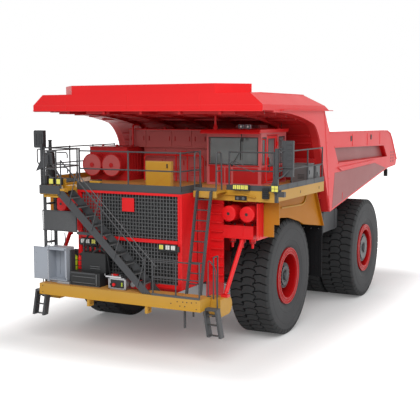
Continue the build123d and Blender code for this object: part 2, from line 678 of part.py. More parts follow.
def place_wheel(shape, side, axle_y):
    """Moves a wheel built on the X axis to its axle; side -1 mirrors it to the right of the truck."""
    made = shape if side == 1 else mirror(shape, about=Plane.YZ)
    return Pos(0, axle_y, TYRE_R) * made


def make_wheels():
    x = FRONT_WHEEL_X
    with BuildPart() as front_rim:
        ring((x - 60, x - 10), RIM_R - 20, HUB_R - 20)
        rim_shell(x)
        ring((x - 250, x + FRONT_HUB_OUT), HUB_R, 0)
        ring((x - 250, x - 20), SPINDLE_R + PIN_GAP, 0)
    bore_depth = 230
    with BuildPart() as front_hub:
        add(front_rim.part)
        with Locations(Plane(origin=(x - 250, 0, 0), z_dir=(1, 0, 0)).location):
            Cylinder(SPINDLE_R + PIN_GAP, bore_depth, align=(Align.CENTER, Align.CENTER, Align.MIN),
                     mode=Mode.SUBTRACT)
    drum_x = (REAR_INNER_X - RIM_W / 2, REAR_OUTER_X + 120)
    with BuildPart() as rear_rims:
        ring(drum_x, RIM_R - RIM_WALL + 10, RIM_R - RIM_WALL - 70)
        rim_shell(REAR_INNER_X)
        rim_shell(REAR_OUTER_X)
        for web in (drum_x[0] + 100, REAR_OUTER_X - 100):
            ring((web, web + 60), RIM_R - RIM_WALL - 60, 420 + PIN_GAP)
        ring((REAR_OUTER_X - 40, REAR_OUTER_X + REAR_HUB_OUT), REAR_HUB_R, 0)
    rear_tyres = [tyre_at(REAR_INNER_X), tyre_at(REAR_OUTER_X)]
    for side, word in ((1, "left"), (-1, "right")):
        save(f"tyre_front_{word}", place_wheel(tyre_at(x), side, FRONT_AXLE_Y))
        save(f"rim_front_{word}", place_wheel(front_hub.part, side, FRONT_AXLE_Y))
        save(f"rims_rear_{word}", place_wheel(rear_rims.part, side, REAR_AXLE_Y))
        pair = Compound(children=[place_wheel(t, side, REAR_AXLE_Y) for t in rear_tyres])
        save(f"tyres_rear_{word}", pair)


# ---------------------------------------------------------------- axles, steering, suspension
def make_axles():
    with BuildPart() as axle:
        bar((-1330, REAR_AXLE_Y, TYRE_R), (1330, REAR_AXLE_Y, TYRE_R), 560)
        bar((-REAR_OUTER_X + 50, REAR_AXLE_Y, TYRE_R), (REAR_OUTER_X - 50, REAR_AXLE_Y, TYRE_R), 420)
        # nose that reaches forward to the frame's cross member
        nose_y = REAR_AXLE_Y - 2250
        slab_yz([(REAR_AXLE_Y - 400, 2150), (REAR_AXLE_Y - 400, 1450), (nose_y, 1900), (nose_y, 2150)],
                (-250, 250))
        for side in (1, -1):
            block((side * 1050, side * 1250), (REAR_AXLE_Y + 400, REAR_STRUT_Y + 130), (1650, 1950))
    save("rear_axle", axle.part)

    with BuildPart() as struts:
        for side in (1, -1):
            bar((side * KINGPIN_X, FRONT_AXLE_Y, 2300), (side * KINGPIN_X, FRONT_AXLE_Y, 3400), STRUT_R)
            bar((side * 1150, REAR_STRUT_Y, 1950), (side * 1150, REAR_STRUT_Y, 2480), 90)
    save("suspension_struts", struts.part)

    for side, word in ((1, "left"), (-1, "right")):
        x = side * KINGPIN_X
        with BuildPart() as spindle:
            bar((x, FRONT_AXLE_Y, 1300), (x, FRONT_AXLE_Y, 2300 - SEAT), STRUT_R + 30)
            bar((x, FRONT_AXLE_Y, TYRE_R), (side * (FRONT_WHEEL_X - 25), FRONT_AXLE_Y, TYRE_R), SPINDLE_R)
            bar((x, FRONT_AXLE_Y, TYRE_R), (side * (FRONT_WHEEL_X - 300), FRONT_AXLE_Y, TYRE_R),
                SPINDLE_R + 70)
            block((x - 80, x + 80), (FRONT_AXLE_Y, FRONT_AXLE_Y + STEER_ARM), ARM_Z)
            bar((x, FRONT_AXLE_Y + STEER_ARM, ARM_Z[0]), (x, FRONT_AXLE_Y + STEER_ARM, ARM_Z[1]), EYE_R)
            bar((x, FRONT_AXLE_Y + STEER_ARM, 1350), (x, FRONT_AXLE_Y + STEER_ARM, ARM_Z[0]), STEER_PIN_R)
            block((x - 80, x + 80), (FRONT_AXLE_Y - CYLINDER_ARM, FRONT_AXLE_Y), ARM_Z)
            bar((x, FRONT_AXLE_Y - CYLINDER_ARM, ARM_Z[0]), (x, FRONT_AXLE_Y - CYLINDER_ARM, ARM_Z[1]),
                EYE_R)
        save(f"spindle_{word}", spindle.part)

    tie_y = FRONT_AXLE_Y + STEER_ARM
    eye_z = (TIE_ROD_Z - TIE_ROD_R, TIE_ROD_Z + TIE_ROD_R)
    with BuildPart() as tie:
        bar((-KINGPIN_X, tie_y, TIE_ROD_Z), (KINGPIN_X, tie_y, TIE_ROD_Z), TIE_ROD_R - 5)
        for side in (1, -1):
            bar((side * KINGPIN_X, tie_y, eye_z[0]), (side * KINGPIN_X, tie_y, eye_z[1]), EYE_R)
        for side in (1, -1):
            bar((side * KINGPIN_X, tie_y, eye_z[0]), (side * KINGPIN_X, tie_y, eye_z[1]),
                STEER_PIN_R + PIN_GAP,
                Mode.SUBTRACT)
    save("tie_rod", tie.part)

    cylinder_y = FRONT_AXLE_Y - CYLINDER_ARM + 34
    with BuildPart() as barrels:
        for side in (1, -1):
            bar((side * 300, cylinder_y, TIE_ROD_Z), (side * 1020, cylinder_y, TIE_ROD_Z), 68)
            bar((side * 500, cylinder_y, TIE_ROD_Z), (side * 1021, cylinder_y, TIE_ROD_Z), 38 + PIN_GAP,
                Mode.SUBTRACT)
            block((side * 300, side * 400), (cylinder_y - 60, cylinder_y + 60), (TIE_ROD_Z, 1760))
            block((side * 300, side * RAIL_X[0]), (cylinder_y - 60, cylinder_y + 60), (1620, 1760))
    save("steering_barrels", barrels.part)
    for side, word in ((1, "left"), (-1, "right")):
        with BuildPart() as rod:
            bar((side * 760, cylinder_y, TIE_ROD_Z), (side * (KINGPIN_X - 60), cylinder_y, TIE_ROD_Z), 38)
            bar((side * KINGPIN_X, cylinder_y, TIE_ROD_Z - 50),
                (side * KINGPIN_X, cylinder_y, ARM_Z[0] - GAP), 80)
        save(f"steering_rod_{word}", rod.part)


# ---------------------------------------------------------------- hoist
HOIST_LENGTH = hypot(HOIST_HEAD[0] - HOIST_FOOT[0], HOIST_HEAD[1] - HOIST_FOOT[1])
HOIST_DIR = ((HOIST_HEAD[0] - HOIST_FOOT[0]) / HOIST_LENGTH, (HOIST_HEAD[1] - HOIST_FOOT[1]) / HOIST_LENGTH)


def on_hoist(side, along):
    """A point on a hoist cylinder's axis, a distance up from its foot pin."""
    return (side * HOIST_X, HOIST_FOOT[0] + along * HOIST_DIR[0], HOIST_FOOT[1] + along * HOIST_DIR[1])


def hoist_plate(side, half, along, reach):
    """A flat tang on a hoist cylinder's axis, between two distances from its foot pin."""
    ends = []
    for distance, signs in ((along[0], (-1, 1)), (along[1], (1, -1))):
        for sign in signs:
            _, y, z = on_hoist(side, distance)
            ends.append((y + sign * reach * HOIST_DIR[1], z - sign * reach * HOIST_DIR[0]))
    slab_yz(ends, (side * HOIST_X - half, side * HOIST_X + half))


def make_hoist():
    barrel_top, stage_top = 1560, 1640
    with BuildPart() as barrels:
        for side in (1, -1):
            bar(on_hoist(side, 170), on_hoist(side, barrel_top), BARREL_R)
            hoist_plate(side, HOIST_EYE_HALF, (0, 190), 120)
            bar((side * (HOIST_X - HOIST_EYE_HALF), *HOIST_FOOT),
                (side * (HOIST_X + HOIST_EYE_HALF), *HOIST_FOOT), 150)
            bar(on_hoist(side, 250), on_hoist(side, barrel_top + 1), STAGE_R + PIN_GAP, Mode.SUBTRACT)
            bar((side * (HOIST_X - HOIST_EYE_HALF - 1), *HOIST_FOOT),
                (side * (HOIST_X + HOIST_EYE_HALF + 1), *HOIST_FOOT), HOIST_PIN_R + PIN_GAP, Mode.SUBTRACT)
    save("hoist_barrels", barrels.part)
    with BuildPart() as stages:
        for side in (1, -1):
            bar(on_hoist(side, 260), on_hoist(side, stage_top), STAGE_R)
            bar(on_hoist(side, 320), on_hoist(side, stage_top + 1), ROD_R + PIN_GAP, Mode.SUBTRACT)
    save("hoist_stages", stages.part)
    with BuildPart() as rods:
        for side in (1, -1):
            bar(on_hoist(side, 330), on_hoist(side, HOIST_LENGTH - 130), ROD_R)
            hoist_plate(side, HOIST_ROD_EYE_HALF, (HOIST_LENGTH - 160, HOIST_LENGTH), 90)
            bar((side * (HOIST_X - HOIST_ROD_EYE_HALF), *HOIST_HEAD),
                (side * (HOIST_X + HOIST_ROD_EYE_HALF), *HOIST_HEAD),
                120)
    save("hoist_rods", rods.part)


# ---------------------------------------------------------------- tanks, flaps, mirrors, lamps
def make_side_fittings():
    with BuildPart() as fuel:
        with BuildSketch(Plane.YZ.offset(1500)):
            with Locations((575, 3045)):
                RectangleRounded(1810, 690, 90)
        extrude(amount=1780)
        for y in (0, 700):
            block((RAIL_X[1], 1500), (y, y + 160), (2720, 2900))
    save("fuel_tank", fuel.part)
    with BuildPart() as hydraulic:
        bar((-1500, 230, 2050), (-2500, 230, 2050), 640)
        for y in (-200, 500):
            block((-RAIL_X[1], -1600), (y, y + 160), (2100, 2300))
    save("hydraulic_tank", hydraulic.part)

    with BuildPart() as flaps:
        outer = DECK_HALF - 400
        for x in both_sides((2250, outer)):
            block(x, (FLAP_Y, FLAP_Y + 40), (FLAP_FOOT_Z, FLAP_TOP_Z))
        for side in (1, -1):
            block((side * RAIL_X[1], side * outer), (FLAP_Y + 40, FLAP_Y + 90), (2740, 2840))
    save("mud_flaps", flaps.part)

    # each mirror stands on a post at the deck's front corner; the left one is the taller
    post_x, post_y = (DECK_HALF, DECK_HALF + 90), (DECK_FRONT_Y, DECK_FRONT_Y + 80)
    with BuildPart() as mirrors:
        for side, wide, face_z, arm_z in ((1, 300, (5000, 5970), (5130, 5740)),
                                          (-1, 380, (5640, 6190), (5700, 5740))):
            block((side * post_x[0], side * post_x[1]), post_y, (DECK_Z - FASCIA, 5770))
            block((side * (MIRROR_X - wide), side * MIRROR_X), (-5640, -5560), face_z)
            bars([((side * (post_x[0] + 45), post_y[0] + 40, z),
                   (side * (MIRROR_X - wide + 60), -5600, z + 60))
                  for z in arm_z], 22)
    save("mirrors", mirrors.part)

    with BuildPart() as lamps:
        for side in (1, -1):
            block((side * 1290, side * 1640), (RADIATOR_Y[0] - 60, RADIATOR_Y[0]), (2960, 3110))
            block((side * (DECK_HALF - 310), side * (DECK_HALF - 140)), (DECK_FRONT_Y - 90, DECK_FRONT_Y),
                  (DECK_Z - 190, DECK_Z - DECK_PLATE))
        block((LANDING_L_X[1] + 240, LANDING_L_X[1] + 720), (DECK_FRONT_Y - 90, DECK_FRONT_Y),
              (DECK_Z, DECK_Z + 160))
    save("lamps", lamps.part)


# ---------------------------------------------------------------- tipping body
def make_body():
    inner = BODY_HALF - BODY_WALL
    lift = FLOOR_T
    floor_line = [BODY_FRONT, BODY_BREAK, (7600, 4610)]
    with BuildPart() as floor:
        slab_yz([*floor_line, (7600, 4610 + lift), (BODY_BREAK[0], BODY_BREAK[1] + lift),
                 (BODY_FRONT[0] + WALL_LEAN * lift, BODY_FRONT[1] + lift)], (-inner, inner))
        # sills over the frame rails
        for x in both_sides((560, 860)):
            ys = (-560, PIVOT[0] - 450)
            slab_yz([(ys[0], rail_top(ys[0]) + GAP), (ys[1], rail_top(ys[1]) + GAP),
                     (ys[1], floor_z(ys[1])),
                     (ys[0], floor_z(ys[0]))], x)
        # cross ribs under the floor
        for y in (-300, 700, 1900, 3000, 5400, 6200):
            depth = 130
            block((-inner, inner), (y, y + 140), (floor_z(y) - depth, floor_z(y) + 30))
        # hinge ears
        for x in (*both_sides((500, 630)), *both_sides((790, 920))):
            slab_yz([(PIVOT[0] - 200, PIVOT[1]), (PIVOT[0] + 200, PIVOT[1]),
                     (PIVOT[0] + 520, floor_z(PIVOT[0] + 520)),
                     (PIVOT[0] - 420, floor_z(PIVOT[0] - 420))], x)
            bar((x[0], *PIVOT), (x[1], *PIVOT), 200)
        for x in both_sides((490, 930)):
            bar((x[0], *PIVOT), (x[1], *PIVOT), PIVOT_PIN_R + PIN_GAP, Mode.SUBTRACT)
        # hoist brackets, inboard of the rod eyes
        for x in both_sides((HOIST_X - HOIST_ROD_EYE_HALF - GAP - 90, HOIST_X - HOIST_ROD_EYE_HALF - GAP)):
            slab_yz([(HOIST_HEAD[0] - 120, HOIST_HEAD[1]), (HOIST_HEAD[0] + 120, HOIST_HEAD[1]),
                     (HOIST_HEAD[0] + 300, floor_z(HOIST_HEAD[0] + 300)),
                     (HOIST_HEAD[0] - 300, floor_z(HOIST_HEAD[0] - 300))], x)
            bar((x[0], *HOIST_HEAD), (x[1], *HOIST_HEAD), 120)
    save("body_floor", floor.part)

    side_outline = [BODY_FRONT, BODY_BREAK, (7600, 4610), (TAIL_END_Y, 4860), (6950, 5720), (6650, 5950),
                    (6200, 6060),
                    (-870, 6120), (SIDE_HEAD_Y, CANOPY_Z[0]), (-5600, CANOPY_Z[0])]
    recess = [(-370, 5630), (5670, 5510), (6250, 5020), (60, 5080)]
    lower = [(950, 4150), (1000, 4560), (5350, 4690), (5600, 4500)]
    with BuildPart() as sides:
        for side in (1, -1):
            with BuildSketch(Plane.YZ.offset(side * inner)) as plate:
                with BuildLine():
                    Polyline(*side_outline)
                    Line(side_outline[-1], (-5600, CANOPY_Z[0] - 50))
                    ThreePointArc((-5600, CANOPY_Z[0] - 50), SKIN_CROWN, SKIN_KNEE)
                    ThreePointArc(SKIN_KNEE, SKIN_HIP, SKIN_FOOT)
                    Line(SKIN_FOOT, BODY_FRONT)
                make_face()
            extrude(plate.sketch, amount=side * BODY_WALL)
            slab_yz(recess, (side * (BODY_HALF - 190), side * (BODY_HALF + 1)), Mode.SUBTRACT)
            slab_yz(lower, (side * (BODY_HALF - 120), side * (BODY_HALF + 1)), Mode.SUBTRACT)
            # oval slots in the top rail and a group of holes at the tail
            for y in (1450, 3900):
                with Locations((side * (BODY_HALF - 40), y, 5850)):
                    Box(100, 60, 130, mode=Mode.SUBTRACT)
            for y in (6850, 7180):
                for z in (4800, 4920, 5040, 5160):
                    bar((side * (BODY_HALF - 60), y, z), (side * (BODY_HALF + 1), y, z), 28, Mode.SUBTRACT)
    save("body_sides", sides.part)

    with BuildPart() as hollow:
        canopy_shell(PLATE)
    with BuildPart() as upper:
        low, high = [(wall_y(z), z) for z in (CANOPY_Z[0], CANOPY_Z[1])]
        slab_yz([low, (low[0] + 80, low[1]), (high[0] + 80, high[1]), high], (-CANOPY_HALF, CANOPY_HALF))
        add(hollow.part, mode=Mode.INTERSECT)
    with BuildPart() as wall:
        foot = (BODY_FRONT[0] + WALL_LEAN * lift, BODY_FRONT[1] + lift)
        head = (wall_y(CANOPY_Z[0]), CANOPY_Z[0])
        slab_yz([foot, (foot[0] + 80, foot[1] + 80 * FLOOR_SLOPE), (head[0] + 80, head[1]), head],
                (-inner, inner))
        add(upper.part)
        # horizontal stiffeners
        for z in (3950, 4550, 5150):
            block((-inner, inner), (wall_y(z) - 130, wall_y(z) + 60), (z, z + 140))
        # curved skin that carries the canopy, and its ribs
        front = CANOPY_FRONT_Y + PLATE
        for deep, spans in ((40, [(-inner, inner)]), (-110, [(x - 40, x + 40) for x in RIBS_X])):
            near, far = (0, deep) if deep > 0 else (deep, 5)
            with BuildSketch(Plane.YZ) as section:
                with BuildLine():
                    low, high = [
                        [(SKIN_FOOT[0] + off, SKIN_FOOT[1]), (SKIN_HIP[0] + 0.75 * off,
                                                              SKIN_HIP[1] + 0.65 * off),
                         (SKIN_KNEE[0] + 0.35 * off, SKIN_KNEE[1] + 0.93 * off),
                         (SKIN_CROWN[0] - 300, SKIN_CROWN[1] + 30 + off),
                         (front, CANOPY_Z[0] + 5 + off)] for off in (near, far)]
                    for line in (low, high):
                        ThreePointArc(*line[:3])
                        ThreePointArc(*line[2:])
                    Line(low[0], high[0])
                    Line(low[-1], high[-1])
                make_face()
            for x in spans:
                extrude(Pos(x[0], 0, 0) * section.sketch, amount=x[1] - x[0])
    save("body_front_wall", wall.part)

    with BuildPart() as canopy:
        canopy_shell(0)
        add(hollow.part, mode=Mode.SUBTRACT)
        for side in (1, -1):
            block((side * CANOPY_HALF, side * (CANOPY_HALF + 130)), (-5200, CANOPY_REAR[0]),
                  (CANOPY_Z[0], CANOPY_Z[0] + 15))
        # raised spill board with swept-back ends
        with BuildSketch(Plane.XY.offset(CANOPY_Z[1])):
            with BuildLine():
                Polyline((-3100, CANOPY_FRONT_Y + 780), (-2350, CANOPY_FRONT_Y + 30),
                         (2350, CANOPY_FRONT_Y + 30),
                         (3100, CANOPY_FRONT_Y + 780))
            trace(line_width=PLATE)
        extrude(amount=260)
    save("body_canopy", canopy.part)


def canopy_shell(inset):
    """The canopy's outer block, or the hollow inside it when it is set in by a plate's thickness."""
    half, low, top = CANOPY_HALF - inset, CANOPY_Z[0] - bool(inset), CANOPY_Z[1] - inset
    shoulder = CANOPY_Z[0] + 160 - inset
    outline = [(-half, low), (half, low), (half, shoulder), (3410 - inset / 2, top),
               (-3410 + inset / 2, top),
               (-half, shoulder)]
    rear, fall = CANOPY_REAR[0] + bool(inset), CANOPY_REAR[1] - inset
    slab_xz(outline, (CANOPY_FRONT_Y + inset, rear))
    slab_yz([(CANOPY_BREAK_Y, top), (CANOPY_BREAK_Y, top + 10), (rear + 10, top + 10), (rear + 10, fall),
             (rear, fall)],
            (-CANOPY_HALF - 1, CANOPY_HALF + 1), Mode.SUBTRACT)


def main():
    for make in (make_frame, make_deck_supports, make_bumper, make_engine, make_radiator, make_decks,
                 make_fenders,
                 make_cab, make_deck_equipment, make_air_cleaners, make_stairs, make_railings,
                 make_bumper_boxes,
                 make_wheels, make_axles, make_hoist, make_side_fittings, make_body):
        make()


main()
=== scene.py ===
"""Looks for the mining dump truck: materials, tyre treads, mesh, rails, lamps, seams, bolts and fittings.

Metres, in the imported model's frame: +Z up, the truck faces -Y, its left side is +X.
"""

from math import cos, pi, radians, sin

import bmesh
import bpy
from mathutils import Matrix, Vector


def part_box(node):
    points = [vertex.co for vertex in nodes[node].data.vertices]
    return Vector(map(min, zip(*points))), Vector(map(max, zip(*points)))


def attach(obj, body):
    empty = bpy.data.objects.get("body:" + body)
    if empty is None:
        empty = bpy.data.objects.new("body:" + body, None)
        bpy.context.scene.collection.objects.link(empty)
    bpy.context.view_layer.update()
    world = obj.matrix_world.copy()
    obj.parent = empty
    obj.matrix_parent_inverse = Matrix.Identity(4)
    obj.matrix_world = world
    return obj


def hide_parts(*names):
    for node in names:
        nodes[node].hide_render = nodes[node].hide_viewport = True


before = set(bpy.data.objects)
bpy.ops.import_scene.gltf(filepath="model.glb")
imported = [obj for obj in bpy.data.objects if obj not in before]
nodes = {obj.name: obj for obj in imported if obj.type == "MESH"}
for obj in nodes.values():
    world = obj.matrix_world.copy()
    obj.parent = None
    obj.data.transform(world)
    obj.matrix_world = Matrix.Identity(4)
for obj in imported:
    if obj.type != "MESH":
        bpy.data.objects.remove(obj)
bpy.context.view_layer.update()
scene = bpy.context.scene

FRONT_AXLE_Y = -3.2
REAR_AXLE_Y = 3.15
TYRE_R = 1.7875
FRONT_WHEEL_X = 2.73
REAR_INNER_X = 1.96
REAR_OUTER_X = 3.24
KINGPIN_X = 1.6
RAIL_X = 0.90  # the frame rails' outer faces
DECK_Z = 4.60
RADIATOR_Y = -7.07  # the radiator housing's front face
GRILLE_HALF = 1.58
CAB_X, CAB_Y, CAB_TOP = (1.11, 2.87), (-4.4, -2.45), 6.15
CAB_FLOOR = 4.7
BODY_HALF = 3.75
BODY_FRONT = Vector((-0.73, 3.52))  # (y, z) of the ends of the body's underside line
BODY_BREAK = Vector((6.30, 4.55))


# ---------------------------------------------------------------- materials
# painted sheen: the body's faces beyond this x get a paler, pinker red
SHEEN_FROM = 3.70  # the body's outer faces lie beyond this x
DUST = (0.30, 0.25, 0.20)


def node(tree, kind, inputs=(), **settings):
    """Adds a node. An input, named or numbered, is linked if it is given a socket, and set if it isn't."""
    made = tree.nodes.new("ShaderNode" + kind)
    for key, value in settings.items():
        setattr(made, key, value)
    for key, value in dict(inputs).items():
        if isinstance(value, bpy.types.NodeSocket):
            tree.links.new(value, made.inputs[key])
        else:
            made.inputs[key].default_value = value
    return made


def noise(tree, scale, detail, rough=0.5):
    place = node(tree, "TexCoord").outputs["Object"]
    values = {"Vector": place, "Scale": scale, "Detail": detail, "Roughness": rough}
    return node(tree, "TexNoise", values).outputs["Fac"]


def blend(tree, factor, first, second):
    return node(tree, "Mix", {0: factor, 6: first, 7: second}, data_type="RGBA").outputs[2]


def spread(tree, value, low, high, start=0.0, end=1.0):
    """A value between start and end, mapped to low and high."""
    values = {"Value": value, "From Min": start, "From Max": end, "To Min": low, "To Max": high}
    return node(tree, "MapRange", values).outputs[0]


def maths(tree, operation, first, second=0.0):
    return node(tree, "Math", {0: first, 1: second}, operation=operation).outputs[0]


def rgba(color, share=1.0):
    return tuple(c * share for c in color) + (1,)


def empty_tree(data):
    """The node tree of a material or world, with nothing in it."""
    data.use_nodes = True
    data.node_tree.nodes.clear()
    return data.node_tree


def surface(tree, height, strength, depth, **values):
    """The shader and output of a material; an underscore in a name stands for a space."""
    values = {key.replace("_", " "): value for key, value in values.items()}
    if height:
        bump = node(tree, "Bump", {"Strength": strength, "Distance": depth, "Height": height})
        values["Normal"] = bump.outputs[0]
    shader = node(tree, "BsdfPrincipled", values)
    node(tree, "OutputMaterial", {"Surface": shader.outputs[0]})


def paint(name, base, worn, rough=(0.28, 0.5), dust=0.12, metal=0.0, bump=0.08, coat=0.05, gloss=0.25,
          outer=None):
    """Sprayed paint: blotches, fine orange-peel bump, dust on upward faces and wear along the edges; with
    outer, a paler colour on the faces far out in x, as painted sheen.
    """
    mat = bpy.data.materials.new(name)
    t = empty_tree(mat)
    blotch, fine, peel = noise(t, 0.9, 6.0, 0.6), noise(t, 35.0, 4.0), noise(t, 220.0, 2.0)
    tone = blend(t, blotch, rgba(base), rgba(base, 0.86))
    if outer:
        # painted sheen: faces beyond the cutoff in x take the paler outer colour
        spot = node(t, "SeparateXYZ", {0: node(t, "TexCoord").outputs["Object"]})
        sheen_side = maths(t, "GREATER_THAN", maths(t, "ABSOLUTE", spot.outputs["X"]), SHEEN_FROM)
        tone = blend(t, sheen_side, tone, rgba(outer))
    shape = node(t, "NewGeometry")
    normal = node(t, "SeparateXYZ", {0: shape.outputs["Normal"]})
    settled = maths(t, "MULTIPLY", spread(t, normal.outputs["Z"], 0.0, dust, 0.25), fine)
    ridge = spread(t, shape.outputs["Pointiness"], 0.0, 0.5, 0.56, 0.72)
    dusty = blend(t, settled, tone, rgba(DUST))
    final = blend(t, maths(t, "MULTIPLY", ridge, fine), dusty, rgba(worn))
    surface(t, peel, bump, 0.004, Base_Color=final, Roughness=spread(t, blotch, *rough), Metallic=metal,
            Coat_Weight=coat, Coat_Roughness=0.25, Specular_IOR_Level=gloss)
    return mat


def rubber(name, base, bump=0.25, scale=60.0, gloss=0.25):
    mat = bpy.data.materials.new(name)
    t = empty_tree(mat)
    grain = noise(t, scale, 5.0)
    tone = blend(t, noise(t, 1.6, 5.0), rgba(base), rgba(base, 1.45))
    surface(t, grain, bump, 0.01, Base_Color=tone, Roughness=spread(t, grain, 0.62, 0.85),
            Specular_IOR_Level=gloss)
    return mat


def glass(name, tint, rough=0.06, alpha=1.0):
    """Tinted pane, part see-through, with faint streaks in its gloss."""
    mat = bpy.data.materials.new(name)
    t = empty_tree(mat)
    streak = noise(t, 3.0, 3.0)
    surface(t, None, 0, 0, Base_Color=blend(t, streak, rgba(tint), rgba(tint, 0.8)), Alpha=alpha,
            Roughness=spread(t, streak, rough, rough + 0.12))
    return mat


def bare_metal(name, base, rough):
    worn = [min(1, c * 1.2) for c in base]
    return paint(name, base, worn, (rough, rough + 0.15), 0.03, metal=1.0, bump=0.03, coat=0.0)


# name, colour, colour where worn, roughness from and to, dust
RED = paint("red_paint", (0.74, 0.008, 0.011), (0.80, 0.09, 0.08), (0.30, 0.46), 0.05)
# the body's red, with a paler, pinker red on its outer faces as painted sheen
RED_BODY = paint("red_paint_body_with_painted_sheen", (0.60, 0.008, 0.011), (0.80, 0.20, 0.18), (0.34, 0.5), 0.06,
                 outer=(0.72, 0.040, 0.046))
# a darker, greyer red: painted shade on the body's recessed panel and along its bottom edge
RED_PANEL_SHADE = paint("red_paint_panel_painted_shade", (0.30, 0.070, 0.070), (0.6, 0.3, 0.3), (0.35, 0.5), 0.06)
# the cab's red paint, lightened and greyed as a painted reflection on its sides under the canopy
RED_CAB_REFLECTION = paint("red_paint_cab_painted_reflection", (0.62, 0.13, 0.135), (0.7, 0.25, 0.22), (0.32, 0.48), 0.05)
RED_DEEP = paint("red_paint_inner", (0.50, 0.012, 0.014), (0.65, 0.08, 0.08), (0.32, 0.5), 0.06)
RED_DISH = paint("red_paint_rim", (0.47, 0.005, 0.006), (0.65, 0.08, 0.08), (0.28, 0.42), 0.02,
                 coat=0.0, gloss=0.08)
# pale red paint, also used for the painted highlight rings on the rims
PINK = paint("pale_red_paint_and_painted_highlight", (0.53, 0.11, 0.11), (0.6, 0.2, 0.18), (0.35, 0.55), 0.08)
YELLOW = paint("yellow_paint", (0.54, 0.28, 0.024), (0.35, 0.28, 0.18), (0.38, 0.55), 0.05)
# the yellow paint, darkened and deepened for the fenders as painted shade under the deck
YELLOW_SHADED = paint("yellow_paint_painted_shade", (0.46, 0.165, 0.003), (0.35, 0.22, 0.10), (0.4, 0.6), 0.02, gloss=0.10)
ORANGE = paint("deck_floor_paint", (0.58, 0.25, 0.022), (0.3, 0.22, 0.15), (0.45, 0.65), 0.15)
LIME = paint("lime_paint", (0.42, 0.52, 0.02), (0.4, 0.4, 0.2))
GREY = paint("grey_paint", (0.125, 0.126, 0.130), (0.3, 0.3, 0.3), (0.40, 0.58), 0.08)
DARK = paint("dark_grey_paint", (0.052, 0.054, 0.058), (0.18, 0.18, 0.18), (0.40, 0.58), 0.12)
BLACK = paint("black_paint", (0.016, 0.017, 0.018), (0.1, 0.1, 0.1), (0.40, 0.6), 0.10)
CABINET = paint("cabinet_grey_paint", (0.36, 0.39, 0.44), (0.5, 0.5, 0.5), (0.35, 0.5), 0.08)
SIGN = paint("sign_grey_paint", (0.058, 0.060, 0.064), (0.2, 0.2, 0.2), (0.45, 0.6), 0.05)
WIRE = paint("wire_grey", (0.10, 0.103, 0.107), (0.3, 0.3, 0.3), (0.35, 0.5), 0.05)
HUB = paint("hub_paint", (0.036, 0.038, 0.041), (0.25, 0.25, 0.25), (0.3, 0.45), 0.08, metal=0.3)
SILVER = paint("silver_paint", (0.30, 0.30, 0.31), (0.6, 0.6, 0.6), (0.28, 0.4), 0.05, metal=0.5)
CORE = paint("radiator_core", (0.012, 0.013, 0.014), (0.05, 0.05, 0.05), (0.5, 0.7), 0.05)
STEEL = bare_metal("bare_steel", (0.42, 0.42, 0.43), 0.35)
CHROME = bare_metal("polished_rod", (0.72, 0.72, 0.74), 0.12)
MIRROR = bare_metal("mirror_face", (0.75, 0.77, 0.78), 0.04)
TYRE = rubber("tyre_rubber", (0.043, 0.044, 0.046))
TREAD = rubber("tread_rubber", (0.024, 0.025, 0.026))
# near-black rubber for the mud flaps, also laid in the tread grooves as painted shade
FLAP_AND_GROOVE_SHADE = rubber("flap_rubber_and_painted_groove_shade", (0.007, 0.007, 0.008), bump=0.15, scale=25, gloss=0.15)
FABRIC = rubber("seat_cloth", (0.03, 0.03, 0.035), bump=0.4, scale=140)
PANE = glass("cab_glass", (0.17, 0.20, 0.205), alpha=0.88)
LENS = glass("clear_lens", (0.75, 0.76, 0.72), rough=0.12)
YELLOW_LENS = glass("yellow_lens", (0.80, 0.75, 0.12), rough=0.2)
RED_LENS = glass("red_lens", (0.6, 0.01, 0.01), rough=0.15)

CAD_LOOKS = (
    (RED, "deck_supports radiator_housing cab_roof cab_door air_cleaners body_canopy"),
    (RED_BODY, "body_sides"),
    (RED_CAB_REFLECTION, "cab_shell"),
    (RED_DEEP, "frame resistor_grid_box rear_axle hoist_barrels body_floor body_front_wall"),
    (RED_DISH, "rim_front_left rim_front_right rims_rear_left rims_rear_right"),
    (PINK, "control_cabinet"),
    (YELLOW, "front_bumper deck_left deck_right deck_locker"),
    (YELLOW_SHADED, "fenders"),
    (GREY, "deck_side_cabinets"),
    (DARK, "deck_center cab_console stairway access_ladder boarding_ladders deck_railings bumper_railing "
           "suspension_struts spindle_left spindle_right tie_rod steering_barrels fuel_tank hydraulic_tank "
           "mirrors"),
    (BLACK, "engine_block lamps"),
    (CORE, "radiator_core tool_box"),
    (CABINET, "battery_box battery_box_door"),
    (SIGN, "sign_panel"),
    (STEEL, "service_box"),
    (CHROME, "steering_rod_left steering_rod_right hoist_stages hoist_rods"),
    (PANE, "cab_windows cab_door_window"),
    (FABRIC, "cab_seat"),
    (FLAP_AND_GROOVE_SHADE, "mud_flaps"),
    (TYRE, "tyre_front_left tyre_front_right tyres_rear_left tyres_rear_right"),
)
for look, names in CAD_LOOKS:
    for name in names.split():
        nodes[name].data.materials.clear()
        nodes[name].data.materials.append(look)


# ---------------------------------------------------------------- mesh building
def about(middle, half):
    return middle - half, middle + half


def lay(axis, along, first, second):
    """A point at a place along an axis, with its two other coordinates in the order x, y, z."""
    return {"x": (along, first, second), "y": (first, along, second), "z": (first, second, along)}[axis]


def turned(axis, along, radius, angle):
    u, v = radius * cos(angle), radius * sin(angle)
    return Vector(lay(axis, along, v, u) if axis == "y" else lay(axis, along, u, v))


def rounded(points, bend, steps=5):
    """The points of a bent pipe's centre line: each corner is cut back by bend and turned along a curve."""
    path = [Vector(points[0])]
    for before, corner, after in zip(points, points[1:], points[2:]):
        a, b, c = Vector(before), Vector(corner), Vector(after)
        cut = min(bend, (a - b).length * 0.45, (c - b).length * 0.45)
        start, end = b + (a - b).normalized() * cut, b + (c - b).normalized() * cut
        for n in range(steps + 1):
            t = n / steps
            path.append(start * (1 - t) ** 2 + b * 2 * t * (1 - t) + end * t ** 2)
    return path + [Vector(points[-1])]


